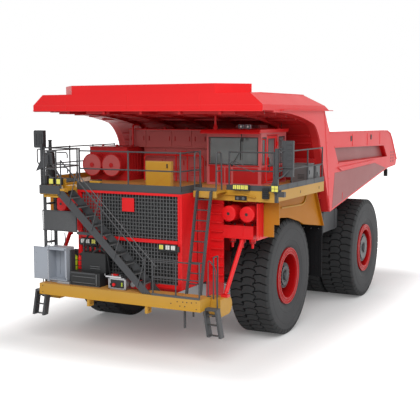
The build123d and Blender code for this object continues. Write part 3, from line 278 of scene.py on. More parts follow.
class Piece:
    """Gathers plates, bars and rings into one mesh, then hands it over with its finishes and its body."""

    def __init__(self, material):
        self.verts, self.faces, self.tags = [], [], []
        self.materials = [material]
        self.tag = 0
        self.flip = 1

    def use(self, material):
        if material not in self.materials:
            self.materials.append(material)
        self.tag = self.materials.index(material)
        return self

    def sides(self):
        """Yields once for each side of the truck: what is added in the second turn is mirrored in x."""
        for self.flip in (1, -1):
            yield
        self.flip = 1

    def mirrored(self, place):
        x, y, z = place
        return Vector((self.flip * x, y, z))

    def add(self, verts, faces):
        start = len(self.verts)
        self.verts += [tuple(self.mirrored(v)) for v in verts]
        self.faces += [tuple(start + i for i in face) for face in faces]
        self.tags += [self.tag] * len(faces)

    def box(self, x, y, z):
        self.add([(a, b, c) for a in x for b in y for c in z],
                 [(0, 1, 3, 2), (4, 6, 7, 5), (0, 4, 5, 1), (2, 3, 7, 6), (0, 2, 6, 4), (1, 5, 7, 3)])

    def boxes(self, *spans):
        for x, y, z in spans:
            self.box(x, y, z)

    def slab(self, outline, axis, span):
        """A plate cut to an outline in the plane square to axis, between two places along it."""
        n = len(outline)
        walls = [(i, (i + 1) % n, n + (i + 1) % n, n + i) for i in range(n)]
        self.add([lay(axis, s, *p) for s in span for p in outline],
                 [tuple(range(n)), tuple(range(n, 2 * n))] + walls)

    def tube(self, path, radius, sides=8):
        """A round bar along a list of points."""
        path = [self.mirrored(p) for p in path]  # so that a bar isn't rolled about itself by being mirrored
        rings = []
        across = None
        for i, p in enumerate(path):
            along = (path[min(i + 1, len(path) - 1)] - path[max(i - 1, 0)]).normalized()
            across = along.orthogonal() if across is None else across - along * across.dot(along)
            across.normalize()
            other = along.cross(across)
            turns = [2 * pi * k / sides for k in range(sides)]
            rings.append([p + (across * cos(t) + other * sin(t)) * radius for t in turns])
        last = (len(rings) - 1) * sides
        faces = [(i + k, i + (k + 1) % sides, i + sides + (k + 1) % sides, i + sides + k)
                 for i in range(0, last, sides) for k in range(sides)]
        faces += [tuple(range(sides)), tuple(range(last, last + sides))]
        self.add([self.mirrored(v) for ring in rings for v in ring], faces)

    def rod(self, start, end, radius, sides=12):
        self.tube([start, end], radius, sides)

    def pipe(self, points, radius, bend=0.1, sides=8):
        self.tube(rounded(points, bend), radius, sides)

    def spin(self, profile, centre, axis, steps=48):
        """A closed loop of (along, radius) points, turned about an axis through centre."""
        n, c = len(profile), Vector(centre)
        verts = [c + turned(axis, a, max(r, 0.0004), 2 * pi * s / steps) for s in range(steps)
                 for a, r in profile]
        self.add(verts, [(s * n + i, s * n + (i + 1) % n, (s + 1) % steps * n + (i + 1) % n,
                          (s + 1) % steps * n + i) for s in range(steps) for i in range(n)])

    def disc(self, centre, axis, span, radius, inner=0.0, steps=32):
        profile = [(span[0], inner), (span[0], radius), (span[1], radius), (span[1], inner)]
        self.spin(profile, centre, axis, steps)

    def bolts(self, centre, axis, circle, count, radius, span):
        """Hexagon heads set round a circle, between two places along the axis."""
        for n in range(count):
            ends = [Vector(centre) + turned(axis, s, circle, 2 * pi * n / count) for s in span]
            self.tube(ends, radius, 6)

    def done(self, name, body, slot, bevel=0.0, sharp=38):
        mesh = bpy.data.meshes.new(name)
        mesh.from_pydata(self.verts, [], self.faces)
        for face, tag in zip(mesh.polygons, self.tags):
            face.material_index = tag
        shell = bmesh.new()
        shell.from_mesh(mesh)
        bmesh.ops.recalc_face_normals(shell, faces=shell.faces)
        shell.to_mesh(mesh)
        shell.free()
        mesh.shade_smooth()
        mesh.set_sharp_from_angle(angle=radians(sharp))
        for material in self.materials:
            mesh.materials.append(material)
        piece = bpy.data.objects.new(name, mesh)
        scene.collection.objects.link(piece)
        if bevel:
            edge = piece.modifiers.new("edge", "BEVEL")
            edge.width = bevel
            edge.segments = 2
            edge.limit_method = "ANGLE"
            edge.angle_limit = radians(50)
        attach(piece, body)
        return piece


# ---------------------------------------------------------------- tyres and wheels
PITCHES = 46
TREAD_HALF = 0.565
ZIGZAG_X = 0.195
ZIGZAG = 0.045
GROOVE = 0.017  # half the width of a groove
GROOVE_DEPTH = 0.055
GROOVE_R = TYRE_R - GROOVE_DEPTH
RIM_FACE = 0.57  # from the tyre's middle plane


def carcass(piece, x, axle_y):
    """The tyre under its tread: bead, bulging wall with two fine ribs, and the floor of the grooves."""
    half = [(0.0, GROOVE_R), (0.545, GROOVE_R), (0.578, 1.715), (0.596, 1.68), (0.608, 1.63), (0.614, 1.57),
            (0.618, 1.51), (0.620, 1.462), (0.626, 1.456), (0.626, 1.446), (0.6205, 1.440), (0.6205, 1.36),
            (0.620, 1.29), (0.616, 1.22), (0.610, 1.15), (0.604, 1.118), (0.608, 1.110), (0.605, 1.098),
            (0.600, 1.092), (0.592, 1.04), (0.570, 0.982), (0.545, 0.925), (0.522, 0.880), (0.520, 0.725)]
    outer = half + [(-a, r) for a, r in reversed(half)][:-1]
    piece.spin(outer, (x, axle_y, TYRE_R), "x", 144)


def zigzag(u, pitch):
    """How far a circumferential groove has swung, at the distance u round the tread."""
    phase = (u / pitch) % 1
    return ZIGZAG * (4 * abs(phase - 0.5) - 1)


def lug(piece, x, axle_y, start, pitch, side):
    """One tread block: side 0 lies between the two zigzag grooves, and +1 or -1 runs over a shoulder."""
    across = 6 if side else 5
    along = 4
    shoulder = [(TREAD_HALF - 0.008, TYRE_R), (0.586, 1.752), (0.602, 1.705), (0.613, 1.655)]
    top = []
    for j in range(along + 1):
        u = start + GROOVE + (pitch - 2 * GROOVE) * j / along
        edge = ZIGZAG_X + zigzag(u, pitch)
        if side:
            inner = edge + GROOVE
            row = [(inner + (TREAD_HALF - 0.03 - inner) * i / 2, TYRE_R) for i in range(3)] + shoulder
        else:
            left, right = -ZIGZAG_X + zigzag(u, pitch) + GROOVE, edge - GROOVE
            row = [(left + (right - left) * i / across, TYRE_R) for i in range(across + 1)]
        for a, r in row:
            wave = 0.035 * sin(pi * (a - ZIGZAG_X) / 0.3) if side else 0.050 * cos(pi * a / (2 * ZIGZAG_X))
            top.append(((side or 1) * a, r, u + wave))
    columns = across + 1
    floor = [(a, (r - GROOVE_DEPTH - 0.004) if abs(a) < 0.575 else r - 0.035, u) for a, r, u in top]
    verts = []
    for a, r, u in top + floor:
        a = a * 0.985 if abs(a) > 0.575 and r < 1.63 else a
        angle = u / TYRE_R
        verts.append((x + a, axle_y + r * sin(angle), TYRE_R + r * cos(angle)))
    n = len(top)
    rows = [j * columns for j in range(along + 1)]
    grid = [(a + i, a + i + 1, b + i + 1, b + i) for a, b in zip(rows, rows[1:]) for i in range(across)]
    border = list(range(columns)) + [a + across for a in rows[1:]]
    border += [rows[-1] + i for i in range(across - 1, -1, -1)] + rows[-2:0:-1]
    walls = [(a, b, b + n, a + n) for a, b in zip(border, border[1:] + border[:1])]
    piece.add(verts, grid + [tuple(i + n for i in face) for face in grid] + walls)


def tyre(piece, x, axle_y, turn):
    carcass(piece.use(TYRE), x, axle_y)
    # painted shade: a near-black band over the floor of the grooves darkens them between the lugs
    piece.use(FLAP_AND_GROOVE_SHADE).disc((x, axle_y, TYRE_R), "x", (-0.56, 0.56), GROOVE_R + 0.003, GROOVE_R - 0.01, 96)
    piece.use(TREAD)
    pitch = 2 * pi * TYRE_R / PITCHES
    for n in range(PITCHES):
        start = (n + turn) * pitch
        lug(piece, x, axle_y, start, pitch, 0)
        for side in (1, -1):
            lug(piece, x, axle_y, start + pitch / 2, pitch, side)


def wheel_dress(name, body, x, side, axle_y, hub_end, web, hub_radius):
    """Hub, bolts and lip rings on the outer face of a wheel; hub_end and web are how far out they lie."""
    centre = (0, axle_y, TYRE_R)

    def out(*spans):
        return [side * s for s in spans]

    def profile(origin, *points):
        return [(side * (origin + a), r) for a, r in points]

    hub = Piece(HUB)
    hub.disc(centre, "x", out(web, hub_end + 0.012), hub_radius + 0.008, 0.0, 48)
    hub.disc(centre, "x", out(web, web + 0.055), hub_radius + 0.085, hub_radius - 0.01, 48)
    hub.disc(centre, "x", out(hub_end + 0.012, hub_end + 0.045), hub_radius - 0.075, 0.0, 48)
    hub.spin(profile(hub_end, (0.045, 0.0), (0.045, 0.165), (0.085, 0.15), (0.105, 0.10), (0.11, 0.0)),
             centre, "x", 32)
    hub.use(WIRE)
    hub.bolts(centre, "x", hub_radius + 0.045, 28, 0.020, out(web + 0.055, web + 0.085))
    hub.bolts(centre, "x", hub_radius - 0.035, 20, 0.017, out(hub_end + 0.012, hub_end + 0.036))
    hub.bolts(centre, "x", 0.195, 10, 0.014, out(hub_end + 0.045, hub_end + 0.063))
    hub.done(f"hub_{name}", body, "dark_steel", 0.004)
    lip = Piece(RED_DISH)
    face = x + RIM_FACE
    for inner, outer, end in ((0.80, 0.861, 0.010), (0.660, 0.726, 0.014)):
        lip.spin(profile(face, (-0.05, inner), (0.003, inner + 0.004), (end, inner + 0.014),
                         (end, outer - 0.012), (0.003, outer), (-0.05, outer)), centre, "x", 96)
    lip.spin(profile(web, (-0.01, 0.55), (0.03, 0.60), (0.12, 0.655), (0.16, 0.666), (0.16, 0.68),
                     (-0.01, 0.68)), centre, "x", 96)
    lip.bolts(centre, "x", 0.53, 24, 0.02, out(web - 0.002, web + 0.028))
    # painted highlight: thin pale rings on the lips stand for their bright edges
    lip.use(PINK)
    for r in (0.775, 0.700, 0.858):
        lip.disc(centre, "x", out(face - 0.01, face + 0.016), r, r - 0.009, 96)
    lip.done(f"rim_rings_{name}", body, "red_paint")


def wheels():
    for side, word in ((1, "left"), (-1, "right")):
        front = Piece(TYRE)
        tyre(front, side * FRONT_WHEEL_X, FRONT_AXLE_Y, 0.2)
        made = front.done(f"tread_front_{word}", f"wheel_front_{word}", "tyre_rubber")
        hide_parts(f"tyre_front_{word}")
        wheel_dress(f"front_{word}", f"wheel_front_{word}", FRONT_WHEEL_X, side, FRONT_AXLE_Y,
                    FRONT_WHEEL_X + 0.42, FRONT_WHEEL_X - 0.01, 0.38)
        rear = Piece(TYRE)
        for n, x in enumerate((REAR_INNER_X, REAR_OUTER_X)):
            tyre(rear, side * x, REAR_AXLE_Y, 0.35 * n)
        made = rear.done(f"treads_rear_{word}", f"wheels_rear_{word}", "tyre_rubber")
        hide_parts(f"tyres_rear_{word}")
        wheel_dress(f"rear_{word}", f"wheels_rear_{word}", REAR_OUTER_X, side, REAR_AXLE_Y,
                    REAR_OUTER_X + 0.49, REAR_OUTER_X - 0.04, 0.50)


# ---------------------------------------------------------------- radiator and front end
def radiator():
    front, bar = -7.035, 3.2
    pitch, wire, weave = 0.098, 0.0125, 0.010
    screen = Piece(WIRE)
    columns = [-GRILLE_HALF + pitch * (i + 0.5) for i in range(int(2 * GRILLE_HALF / pitch))]
    for low, high in ((1.98, bar - 0.05), (bar + 0.05, 4.48)):
        rows = [low + pitch * (j + 0.5) for j in range(int((high - low) / pitch))]
        for i, x in enumerate(columns):
            crossings = [(x, front + (weave if (i + j) % 2 else -weave), z) for j, z in enumerate(rows)]
            screen.tube([(x, front, low)] + crossings + [(x, front, high)], wire, 5)
        for j, z in enumerate(rows):
            crossings = [(x, front - (weave if (i + j) % 2 else -weave), z) for i, x in enumerate(columns)]
            screen.tube([(-GRILLE_HALF, front, z)] + crossings + [(GRILLE_HALF, front, z)], wire, 5)
    screen.done("radiator_screen", "chassis", "grey_paint")

    trim = Piece(RED)
    trim.boxes(((-0.185, 0.205), (-7.095, -7.08), (3.99, 4.37)),
               ((-1.71, 1.71), (-7.085, RADIATOR_Y), (4.47, 4.54)),
               ((-GRILLE_HALF, GRILLE_HALF), (-7.09, RADIATOR_Y), about(bar, 0.035)),
               ((0.95, GRILLE_HALF), (-7.085, -7.05), (1.93, 2.02)))
    for x in (-0.15, 0.17):
        for z in (4.02, 4.34):
            trim.disc((x, 0, z), "y", (-7.101, -7.09), 0.014, steps=6)
    for _ in trim.sides():
        trim.box(about(1.62, 0.02), (-7.082, RADIATOR_Y), (1.93, 4.45))
    for n in range(10):
        for x in (1.69, -1.69):
            trim.disc((x, 0, 2.1 + 0.26 * n), "y", (-7.08, -7.068), 0.014, steps=6)
    trim.done("radiator_trim", "chassis", "red_paint", 0.004)

    baffle = Piece(RED_DEEP)
    baffle.box((-1.65, -0.95), (-6.975, -6.955), (1.98, 4.48))
    for n in range(5):
        baffle.box((-1.6 + 0.14 * n, -1.585 + 0.14 * n), (-6.99, -6.975), (1.98, 4.48))
    baffle.done("radiator_side_baffle", "chassis", "red_paint")

    core = Piece(CORE)
    for n in range(23):
        x = -0.90 + 0.11 * n
        core.box((x, x + 0.012), (-6.965, -6.95), (1.99, 4.47))
    for z in (2.55, 3.9):
        core.box((-0.95, 1.64), (-6.975, -6.95), (z, z + 0.05))
    core.use(RED_DEEP)
    for _ in core.sides():
        core.box((1.79, 2.34), (-5.78, -5.76), (1.35, 1.95))
        core.box((1.72, 1.80), (-6.17, -5.78), (1.95, 4.30))
    core.done("radiator_fins", "chassis", "dark_steel")

    lamps = Piece(BLACK)
    for _ in lamps.sides():
        lamps.box((1.02, 1.58), (-7.14, -7.09), (2.955, 3.155))
        for x, lens in ((1.115, YELLOW_LENS), (1.315, LENS), (1.485, LENS)):
            lamps.use(DARK).box(about(x, 0.075), (-7.165, -7.14), (3.005, 3.15))
            lamps.use(lens).box(about(x, 0.06), (-7.178, -7.165), (3.02, 3.135))
            lamps.use(BLACK).box(about(x, 0.004), (-7.181, -7.178), (3.02, 3.135))
    lamps.done("grille_lamps", "chassis", "lamp_lens", 0.004)

    valves = Piece(BLACK)
    for n in range(5):
        valves.box((-1.40 + 0.16 * n, -1.32 + 0.16 * n), (-7.11, -7.075), (2.70, 2.92))
    valves.box((-1.45, -0.60), (-7.12, RADIATOR_Y), (2.60, 2.68))
    valves.use(RED_DEEP)
    for n in range(4):
        valves.box((-1.31 + 0.16 * n, -1.25 + 0.16 * n), (-7.10, -7.075), (2.74, 2.90))
    valves.done("valve_bank", "chassis", "dark_steel", 0.003)


def bumper():
    beam = Piece(YELLOW)
    for _ in beam.sides():
        for y in (-7.0, -6.75):
            beam.box(about(2.5942, 0.21), (y, y + 0.012), (1.285, 1.775))
    beam.use(BLACK)
    for x, z in ((1.74, 1.69), (1.93, 1.755), (2.10, 1.76), (2.22, 1.76), (2.36, 1.765), (2.01, 1.645),
                 (2.16, 1.645)):
        beam.disc((x, 0, z), "y", (-7.756, -7.748), 0.017, steps=12)
    for _ in beam.sides():
        for z in (1.60, 1.78):
            beam.disc((2.5, 0, z), "y", (-7.756, -7.748), 0.014, steps=12)
    beam.done("bumper_bolts", "chassis", "yellow_paint")

    tread = Piece(ORANGE)
    tread.box((-2.58, 2.58), (-7.68, -7.16), (1.850, 1.856))
    for i in range(44):
        for j in range(4):
            x, y = -2.52 + 0.117 * i, -7.62 + 0.13 * j
            tilt = 0.022 if (i + j) % 2 else -0.022
            tread.tube([(x - 0.022, y - tilt, 1.857), (x + 0.022, y + tilt, 1.857)], 0.006, 4)
    tread.done("bumper_tread_plate", "chassis", "yellow_paint")

    rods = Piece(DARK)
    rods.rod((1.97, -7.4, 0.97), (1.97, -7.4, 1.535), 0.035)
    rods.rod((2.23, -7.4, 1.30), (2.23, -7.4, 1.535), 0.028)
    for _ in rods.sides():
        rods.pipe([(2.58, -7.22, 1.86), (2.58, -7.22, 2.87), (2.80, -7.22, 2.62), (2.86, -7.25, 1.90),
                   (2.90, -7.30, 1.36), (2.76, -7.34, 1.36)], 0.017, 0.12)
        rods.box((2.56, 2.66), (-7.27, -7.17), (1.855, 1.875))
    rods.pipe([(-2.36, -7.48, 2.95), (-2.36, -7.49, 3.36)], 0.013)
    rods.pipe([(-2.56, -7.44, 2.95), (-2.60, -7.44, 3.10), (-2.60, -7.44, 4.30), (-2.52, -7.5, 4.42)], 0.015)
    rods.pipe([(-2.06, -7.30, 2.93), (-2.00, -7.30, 3.05), (-2.02, -7.30, 3.30)], 0.015)
    rods.done("bumper_rods", "chassis", "dark_steel")

    cans = Piece(LIME)
    for x, coat in ((-1.80, LIME), (-1.64, RED)):
        cans.use(coat).spin([(2.20, 0.0), (2.20, 0.055), (2.215, 0.064), (2.56, 0.064), (2.60, 0.045),
                             (2.62, 0.022), (2.66, 0.02), (2.66, 0.0)], (x, -7.10, 0), "z", 20)
        cans.use(BLACK).box((x - 0.02, x + 0.05), (-7.12, -7.08), (2.64, 2.69))
        for z in (2.32, 2.48):
            cans.disc((x, -7.10, 0), "z", (z, z + 0.02), 0.067, 0.05, 20)
        cans.box(about(x, 0.05), (-7.06, -7.035), (2.16, 2.66))
    cans.box((-1.88, -1.56), (-7.04, -7.03), (1.93, 2.80))
    cans.done("fire_extinguishers", "chassis", "red_paint")


def bumper_boxes():
    low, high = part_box("battery_box")
    inside = Piece(CABINET)
    for x in (low.x + 0.165, high.x - 0.125):
        inside.box((x, x + 0.025), (high.y - 0.05, high.y - 0.03), (low.z + 0.20, high.z - 0.09))
    frame_y = (low.y + 0.036, low.y + 0.05)
    inside.box((low.x + 0.04, high.x - 0.025), frame_y, (high.z - 0.12, high.z - 0.07))
    inside.box((high.x - 0.06, high.x - 0.025), frame_y, (low.z + 0.17, high.z - 0.07))
    inside.use(DARK).box((high.x, high.x + 0.05), (high.y - 0.22, high.y - 0.02), (low.z, high.z - 0.12))
    inside.use(SILVER).box((-2.08, -1.66), (low.y - 0.02, low.y + 0.10), (1.857, 1.925))
    inside.done("battery_box_racks", "chassis", "light_grey_paint", 0.003)

    low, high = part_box("battery_box_door")
    lid = Piece(CABINET)
    edge_y = (low.y - 0.006, low.y)
    lid.boxes(((low.x, high.x - 0.06), edge_y, (high.z - 0.035, high.z - 0.005)),
              ((low.x, high.x - 0.06), edge_y, (low.z + 0.005, low.z + 0.035)),
              ((low.x, low.x + 0.03), edge_y, (low.z + 0.005, high.z - 0.005)))
    lid.use(DARK)
    for n in range(3):
        lid.disc((low.x + 0.10, 0, low.z + 0.2 + 0.28 * n), "y", edge_y, 0.008, steps=8)
    lid.done("battery_lid_flange", "battery_lid", "light_grey_paint", 0.003)

    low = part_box("tool_box")[0]
    right, split = -0.65, 2.24
    tool = Piece(WIRE)
    for z in (1.93, 2.10):
        tool.box((low.x + 0.08, right - 0.16), (low.y - 0.022, low.y), (z, z + 0.022))
    for z in (2.34, 2.40):
        tool.box((right - 0.42, right - 0.08), (-7.43, -7.40), (z, z + 0.018))
    tool.box((right - 0.13, right - 0.09), (low.y - 0.02, low.y), (low.z + 0.03, split - 0.02))
    tool.use(DARK).box((low.x + 0.02, right - 0.16), (low.y - 0.012, low.y), (split - 0.05, split))
    tool.box((low.x + 0.02, right - 0.02), (low.y - 0.012, low.y), (low.z, low.z + 0.035))
    tool.use(BLACK)
    tool.pipe([(-1.0, -7.38, 2.79), (-0.78, -7.38, 2.95), (-0.56, -7.33, 2.8), (-0.55, -7.2, 2.2)],
              0.028, 0.18)
    tool.pipe([(-1.3, -7.38, 2.79), (-1.3, -7.38, 3.1), (-1.1, -7.25, 3.4)], 0.03, 0.12)
    tool.done("tool_box_shelves", "chassis", "dark_steel", 0.003)

    service = Piece(SILVER)
    x, y, z = (-0.36, 0.22), -7.56, (1.85, 2.19)
    rim_y = (y - 0.012, y)
    service.boxes((x, rim_y, (z[1] - 0.035, z[1])), (x, rim_y, (z[0], z[0] + 0.03)),
                  ((x[0], x[0] + 0.05), rim_y, z), ((x[1] - 0.05, x[1]), rim_y, z))
    for n in range(3):
        service.rod((-0.46 + 0.25 * n, -7.58, 2.22), (-0.46 + 0.25 * n, -7.58, 2.28), 0.012)
    service.use(BLACK).box((x[0] + 0.07, x[1] - 0.07), (y - 0.006, y), (z[0] + 0.05, z[1] - 0.06))
    service.disc((-0.28, 0, 1.99), "y", (y - 0.035, y - 0.006), 0.03, steps=20)
    service.use(RED).disc((-0.17, 0, 1.99), "y", (y - 0.05, y - 0.006), 0.045, steps=20)
    service.box((-0.30, -0.12), (-7.50, -7.40), (2.22, 2.26))
    service.use(LIME).box((0.06, 0.10), (y - 0.01, y), (1.95, 2.06))
    # a small motor beside the box
    service.use(WIRE).box((0.22, 0.80), (-7.30, -7.12), (1.86, 1.88))
    service.use(RED_DEEP).box((0.24, 0.78), (-7.35, -7.15), (1.88, 2.10))
    service.use(SILVER).disc((0.32, 0, 2.0), "y", (-7.38, -7.35), 0.08, steps=24)
    service.done("service_box_panel", "chassis", "silver_paint", 0.003)

    low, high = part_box("sign_panel")
    sign = Piece(SIGN)
    edge_y = (-7.508, -7.50)
    for z in (3.36, 3.92):
        sign.box((low.x, high.x), edge_y, (z, z + 0.03))
    for x in (low.x, high.x - 0.03):
        sign.box((x, x + 0.03), edge_y, (3.36, 3.95))
    sign.use(DARK).box((-1.46, -0.75), (-7.49, -7.44), (3.30, 3.38))
    for z in (2.98, 4.10):
        sign.box((-2.57, -2.45), (-7.43, -7.14), (z, z + 0.05))
    sign.done("sign_panel_frame", "chassis", "grey_paint", 0.003)


# ---------------------------------------------------------------- stairs, ladders, rails
STAIR_TOP, STAIR_FOOT = Vector((-1.9, 4.6)), Vector((0.95, 1.85))  # (x, z)
STEPS = 11


def stairs():
    run = (STAIR_TOP - STAIR_FOOT).normalized()
    down = Vector((run.y, -run.x))
    y = -7.712
    brace = Piece(DARK)
    for t in (0.10, 0.36, 0.62, 0.88):
        a = STAIR_FOOT.lerp(STAIR_TOP, t)
        b = STAIR_FOOT.lerp(STAIR_TOP, t + 0.10) + down * 0.86
        brace.rod((a.x, y, a.y - 0.10), (b.x, y, b.y), 0.013, 6)
    a, b = STAIR_FOOT + down * 0.78 + run * 0.3, STAIR_TOP + down * 0.78 - run * 0.25
    brace.rod((a.x, y, a.y), (b.x, y, b.y), 0.013, 6)
    brace.done("stair_braces", "chassis", "grey_paint")

    tread = Piece(BLACK)
    for n in range(1, STEPS):
        x, z = STAIR_FOOT.lerp(STAIR_TOP, n / STEPS)
        tread.use(BLACK)
        for k in range(9):
            y = -7.645 + 0.052 * k
            tread.box((x - 0.12, x + 0.10), (y, y + 0.016), (z, z + 0.012))
        tread.box((x - 0.125, x - 0.11), (-7.66, -7.20), (z, z + 0.016))
        tread.use(WIRE).box((x + 0.095, x + 0.112), (-7.66, -7.20), (z - 0.028, z + 0.004))
    tread.done("stair_treads", "chassis", "dark_steel")

    gate = Piece(DARK)
    for z in (5.62, 5.20):
        gate.pipe([(-1.66, -7.60, z - 0.16), (-1.66, -7.60, z), (-2.0, -7.62, z)], 0.017, 0.1)
    for x in (1.78, 2.44):
        gate.pipe([(x, -6.46, 4.62), (x, -6.46, 5.66), (x, -6.15, 5.66), (x, -6.12, 4.62)], 0.021, 0.12)
        gate.rod((x, -6.46, 5.15), (x, -6.13, 5.15), 0.016)
    gate.pipe([(2.52, -5.98, 5.30), (2.76, -5.99, 5.42), (3.05, -5.98, 5.30)], 0.012, 0.06)
    gate.rod((2.60, -5.96, 5.35), (3.35, -5.96, 5.12), 0.012, 6)
    gate.box((1.78, 2.44), (-6.50, -6.478), (4.602, 4.70))
    gate.done("ladder_gates", "chassis", "grey_paint")

    feet = Piece(DARK)
    for n in range(4):
        feet.box(about(-1.655 + 1.10 * n, 0.045), (-7.07, -6.99), (DECK_Z, 4.614))
    for _ in feet.sides():
        for n in range(4):
            feet.box(about(3.855, 0.045), about(-5.80 + 1.31 * n, 0.045), (DECK_Z, 4.616))
    feet.done("railing_feet", "chassis", "grey_paint", 0.003)


# ---------------------------------------------------------------- decks and what stands on them
def decks():
    floor = Piece(ORANGE)
    floor_z = (DECK_Z, DECK_Z + 0.006)
    floor.box((-1.66, 1.66), (-7.05, -5.86), floor_z)
    floor.box((-1.09, 1.09), (-5.86, -1.82), floor_z)
    for _ in floor.sides():
        floor.box((1.12, 3.86), (-5.80, -1.82), floor_z)
    floor.done("deck_floor", "chassis", "yellow_paint")

    edge = Piece(DARK)
    edge.box((-1.70, 1.70), (-7.112, -7.09), (4.56, 4.75))
    for _ in edge.sides():
        edge.box((1.68, 1.70), (-7.09, -5.86), (DECK_Z, 4.75))
        edge.box((3.885, 3.908), (-5.85, -1.80), (4.602, 4.755))
        for n in range(6):
            edge.box((3.908, 3.914), (-5.6 + 0.72 * n, -5.55 + 0.72 * n), (4.61, 4.745))
    edge.boxes(((2.46, 3.90), (-5.862, -5.85), (4.602, 4.752)),
               ((-3.90, -2.56), (-5.862, -5.85), (4.602, 4.752)),
               ((-2.575, -1.86), (-7.715, -7.70), (4.44, 4.69)),
               ((-2.575, -2.56), (-7.70, -5.85), (4.44, 4.69)))
    edge.done("deck_toe_boards", "chassis", "grey_paint", 0.003)

    plates = Piece(YELLOW)
    plates.slab([(2.32, 4.445), (2.44, 4.49), (3.0, 4.50), (3.36, 4.43), (3.36, 4.415), (3.0, 4.478),
                 (2.44, 4.47), (2.32, 4.43)], "y", (-5.93, -5.85))
    for z in (4.29, 4.45):
        plates.box((2.69, 3.11), (-5.868, -5.85), (z, z + 0.025))
    for x in (2.67, 3.09):
        plates.box((x, x + 0.02), (-5.868, -5.85), (4.29, 4.475))
    plates.boxes(((-2.46, -1.96), (-7.66, -7.12), (4.34, 4.40)),
                 ((-1.98, -1.74), (-7.40, -7.12), (DECK_Z, 4.66)),
                 ((-1.98, -1.90), (-7.40, -7.34), (4.66, 4.86)),
                 ((-1.30, -0.95), (-7.06, -6.95), (4.75, 4.80)))
    for _ in plates.sides():
        plates.pipe([(3.50, -4.33, 3.99), (3.50, -2.62, 3.93), (3.50, -2.36, 4.02), (3.50, -2.28, 4.26)],
                    0.022, 0.12)
        plates.box((3.44, 3.52), (-5.50, -2.3), (4.22, 4.24))
    plates.use(BLACK).box((2.72, 3.08), (-5.858, -5.85), (4.32, 4.445))
    for y in (-3.86, -2.25):
        plates.box((3.90, 3.905), about(y, 0.02), (4.40, 4.48))
    for x in (2.81, 2.98):
        plates.use(DARK).disc((x, 0, 4.383), "y", (-5.876, -5.858), 0.05, steps=20)
        plates.use(GREY).disc((x, 0, 4.383), "y", (-5.882, -5.876), 0.038, steps=20)
    plates.done("fascia_fittings", "chassis", "yellow_paint", 0.003)
    deck_lamps()

    low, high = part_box("deck_locker")
    front = low.y
    locker = Piece(YELLOW)
    locker.box((low.x + 0.03, high.x - 0.03), (front - 0.012, front), (low.z + 0.04, high.z - 0.03))
    for z in (low.z + 0.14, high.z - 0.2):
        locker.rod((low.x + 0.02, front - 0.015, z - 0.04), (low.x + 0.02, front - 0.015, z + 0.04), 0.012)
    locker.use(ORANGE)
    y = front - 0.012
    locker.tube([(low.x + 0.06, y, high.z - 0.1), (high.x - 0.2, y, low.z + 0.08)], 0.006, 4)
    locker.tube([(high.x - 0.05, y, high.z - 0.35), (low.x + 0.3, y, low.z + 0.06)], 0.006, 4)
    locker.use(BLACK).box((high.x - 0.14, high.x - 0.105), (front - 0.035, y), (high.z - 0.19, high.z - 0.07))
    locker.done("locker_door", "chassis", "yellow_paint", 0.004)

    # x from, y from, depth, top
    for n, (inner, y, depth, top) in enumerate(((3.30, -3.05, 0.51, 5.19), (3.43, -2.35, 0.41, 5.10))):
        outer = 3.82
        door_z = (DECK_Z + 0.05, top - 0.04)
        handle_z = (top - 0.3, top - 0.18)
        door = Piece(GREY)
        door.boxes(((outer, outer + 0.012), (y + 0.03, y + depth - 0.04), door_z),
                   ((inner + 0.03, outer - 0.03), (y - 0.012, y), door_z),
                   ((inner - 0.01, outer + 0.02), (y - 0.02, y + depth), (top, top + 0.02)))
        door.use(BLACK).boxes(((outer + 0.012, outer + 0.03), (y + 0.08, y + 0.10), handle_z),
                              ((inner + 0.07, inner + 0.09), (y - 0.03, y - 0.012), handle_z))
        for k in range(4):
            z = DECK_Z + 0.15 + 0.04 * k
            door.box((inner + 0.2, outer - 0.1), (y - 0.018, y - 0.012), (z, z + 0.015))
        door.done(f"side_cabinet_door_{n + 1}", "chassis", "grey_paint", 0.004)


def deck_lamps():
    lamps = Piece(DARK)
    lamps.boxes(((2.70, 3.18), (-5.99, -5.94), (4.625, 4.775)),
                ((3.85, 4.07), (-5.97, -5.90), (DECK_Z, 4.78)),
                ((3.90, 4.10), (-5.90, -5.84), (4.56, 4.66)), ((4.05, 4.22), (-5.96, -5.82), (4.47, 4.61)))
    for n in range(4):
        x = 2.73 + 0.115 * n
        lamps.use(YELLOW_LENS).box((x, x + 0.095), (-6.003, -5.99), (4.645, 4.755))
        lamps.use(DARK).box((x + 0.043, x + 0.052), (-6.007, -6.003), (4.645, 4.755))
    lamps.use(YELLOW_LENS)
    for x in (3.865, 3.963):
        for z in (4.612, 4.697):
            lamps.box((x, x + 0.085), (-5.985, -5.97), (z, z + 0.072))
    lamps.use(BLACK)
    for _ in lamps.sides():
        for n in range(5):
            lamps.box((3.59, 3.76), (-5.985, -5.94), (4.42 + 0.058 * n, 4.452 + 0.058 * n))
        lamps.box((3.58, 3.77), (-5.955, -5.94), (4.40, 4.70))
    lamps.box((-2.55, -2.37), (-7.62, -7.52), (4.70, 4.94))
    for x in (-2.19, -1.93):
        lamps.use(BLACK).box(about(x, 0.085), (-7.66, -7.56), (4.70, 4.90))
        lamps.use(YELLOW_LENS).box(about(x, 0.065), (-7.675, -7.66), (4.73, 4.87))
        lamps.use(DARK).rod((x, -7.60, 4.58), (x, -7.60, 4.72), 0.02)
    lamps.done("deck_lamps", "chassis", "lamp_lens", 0.004)


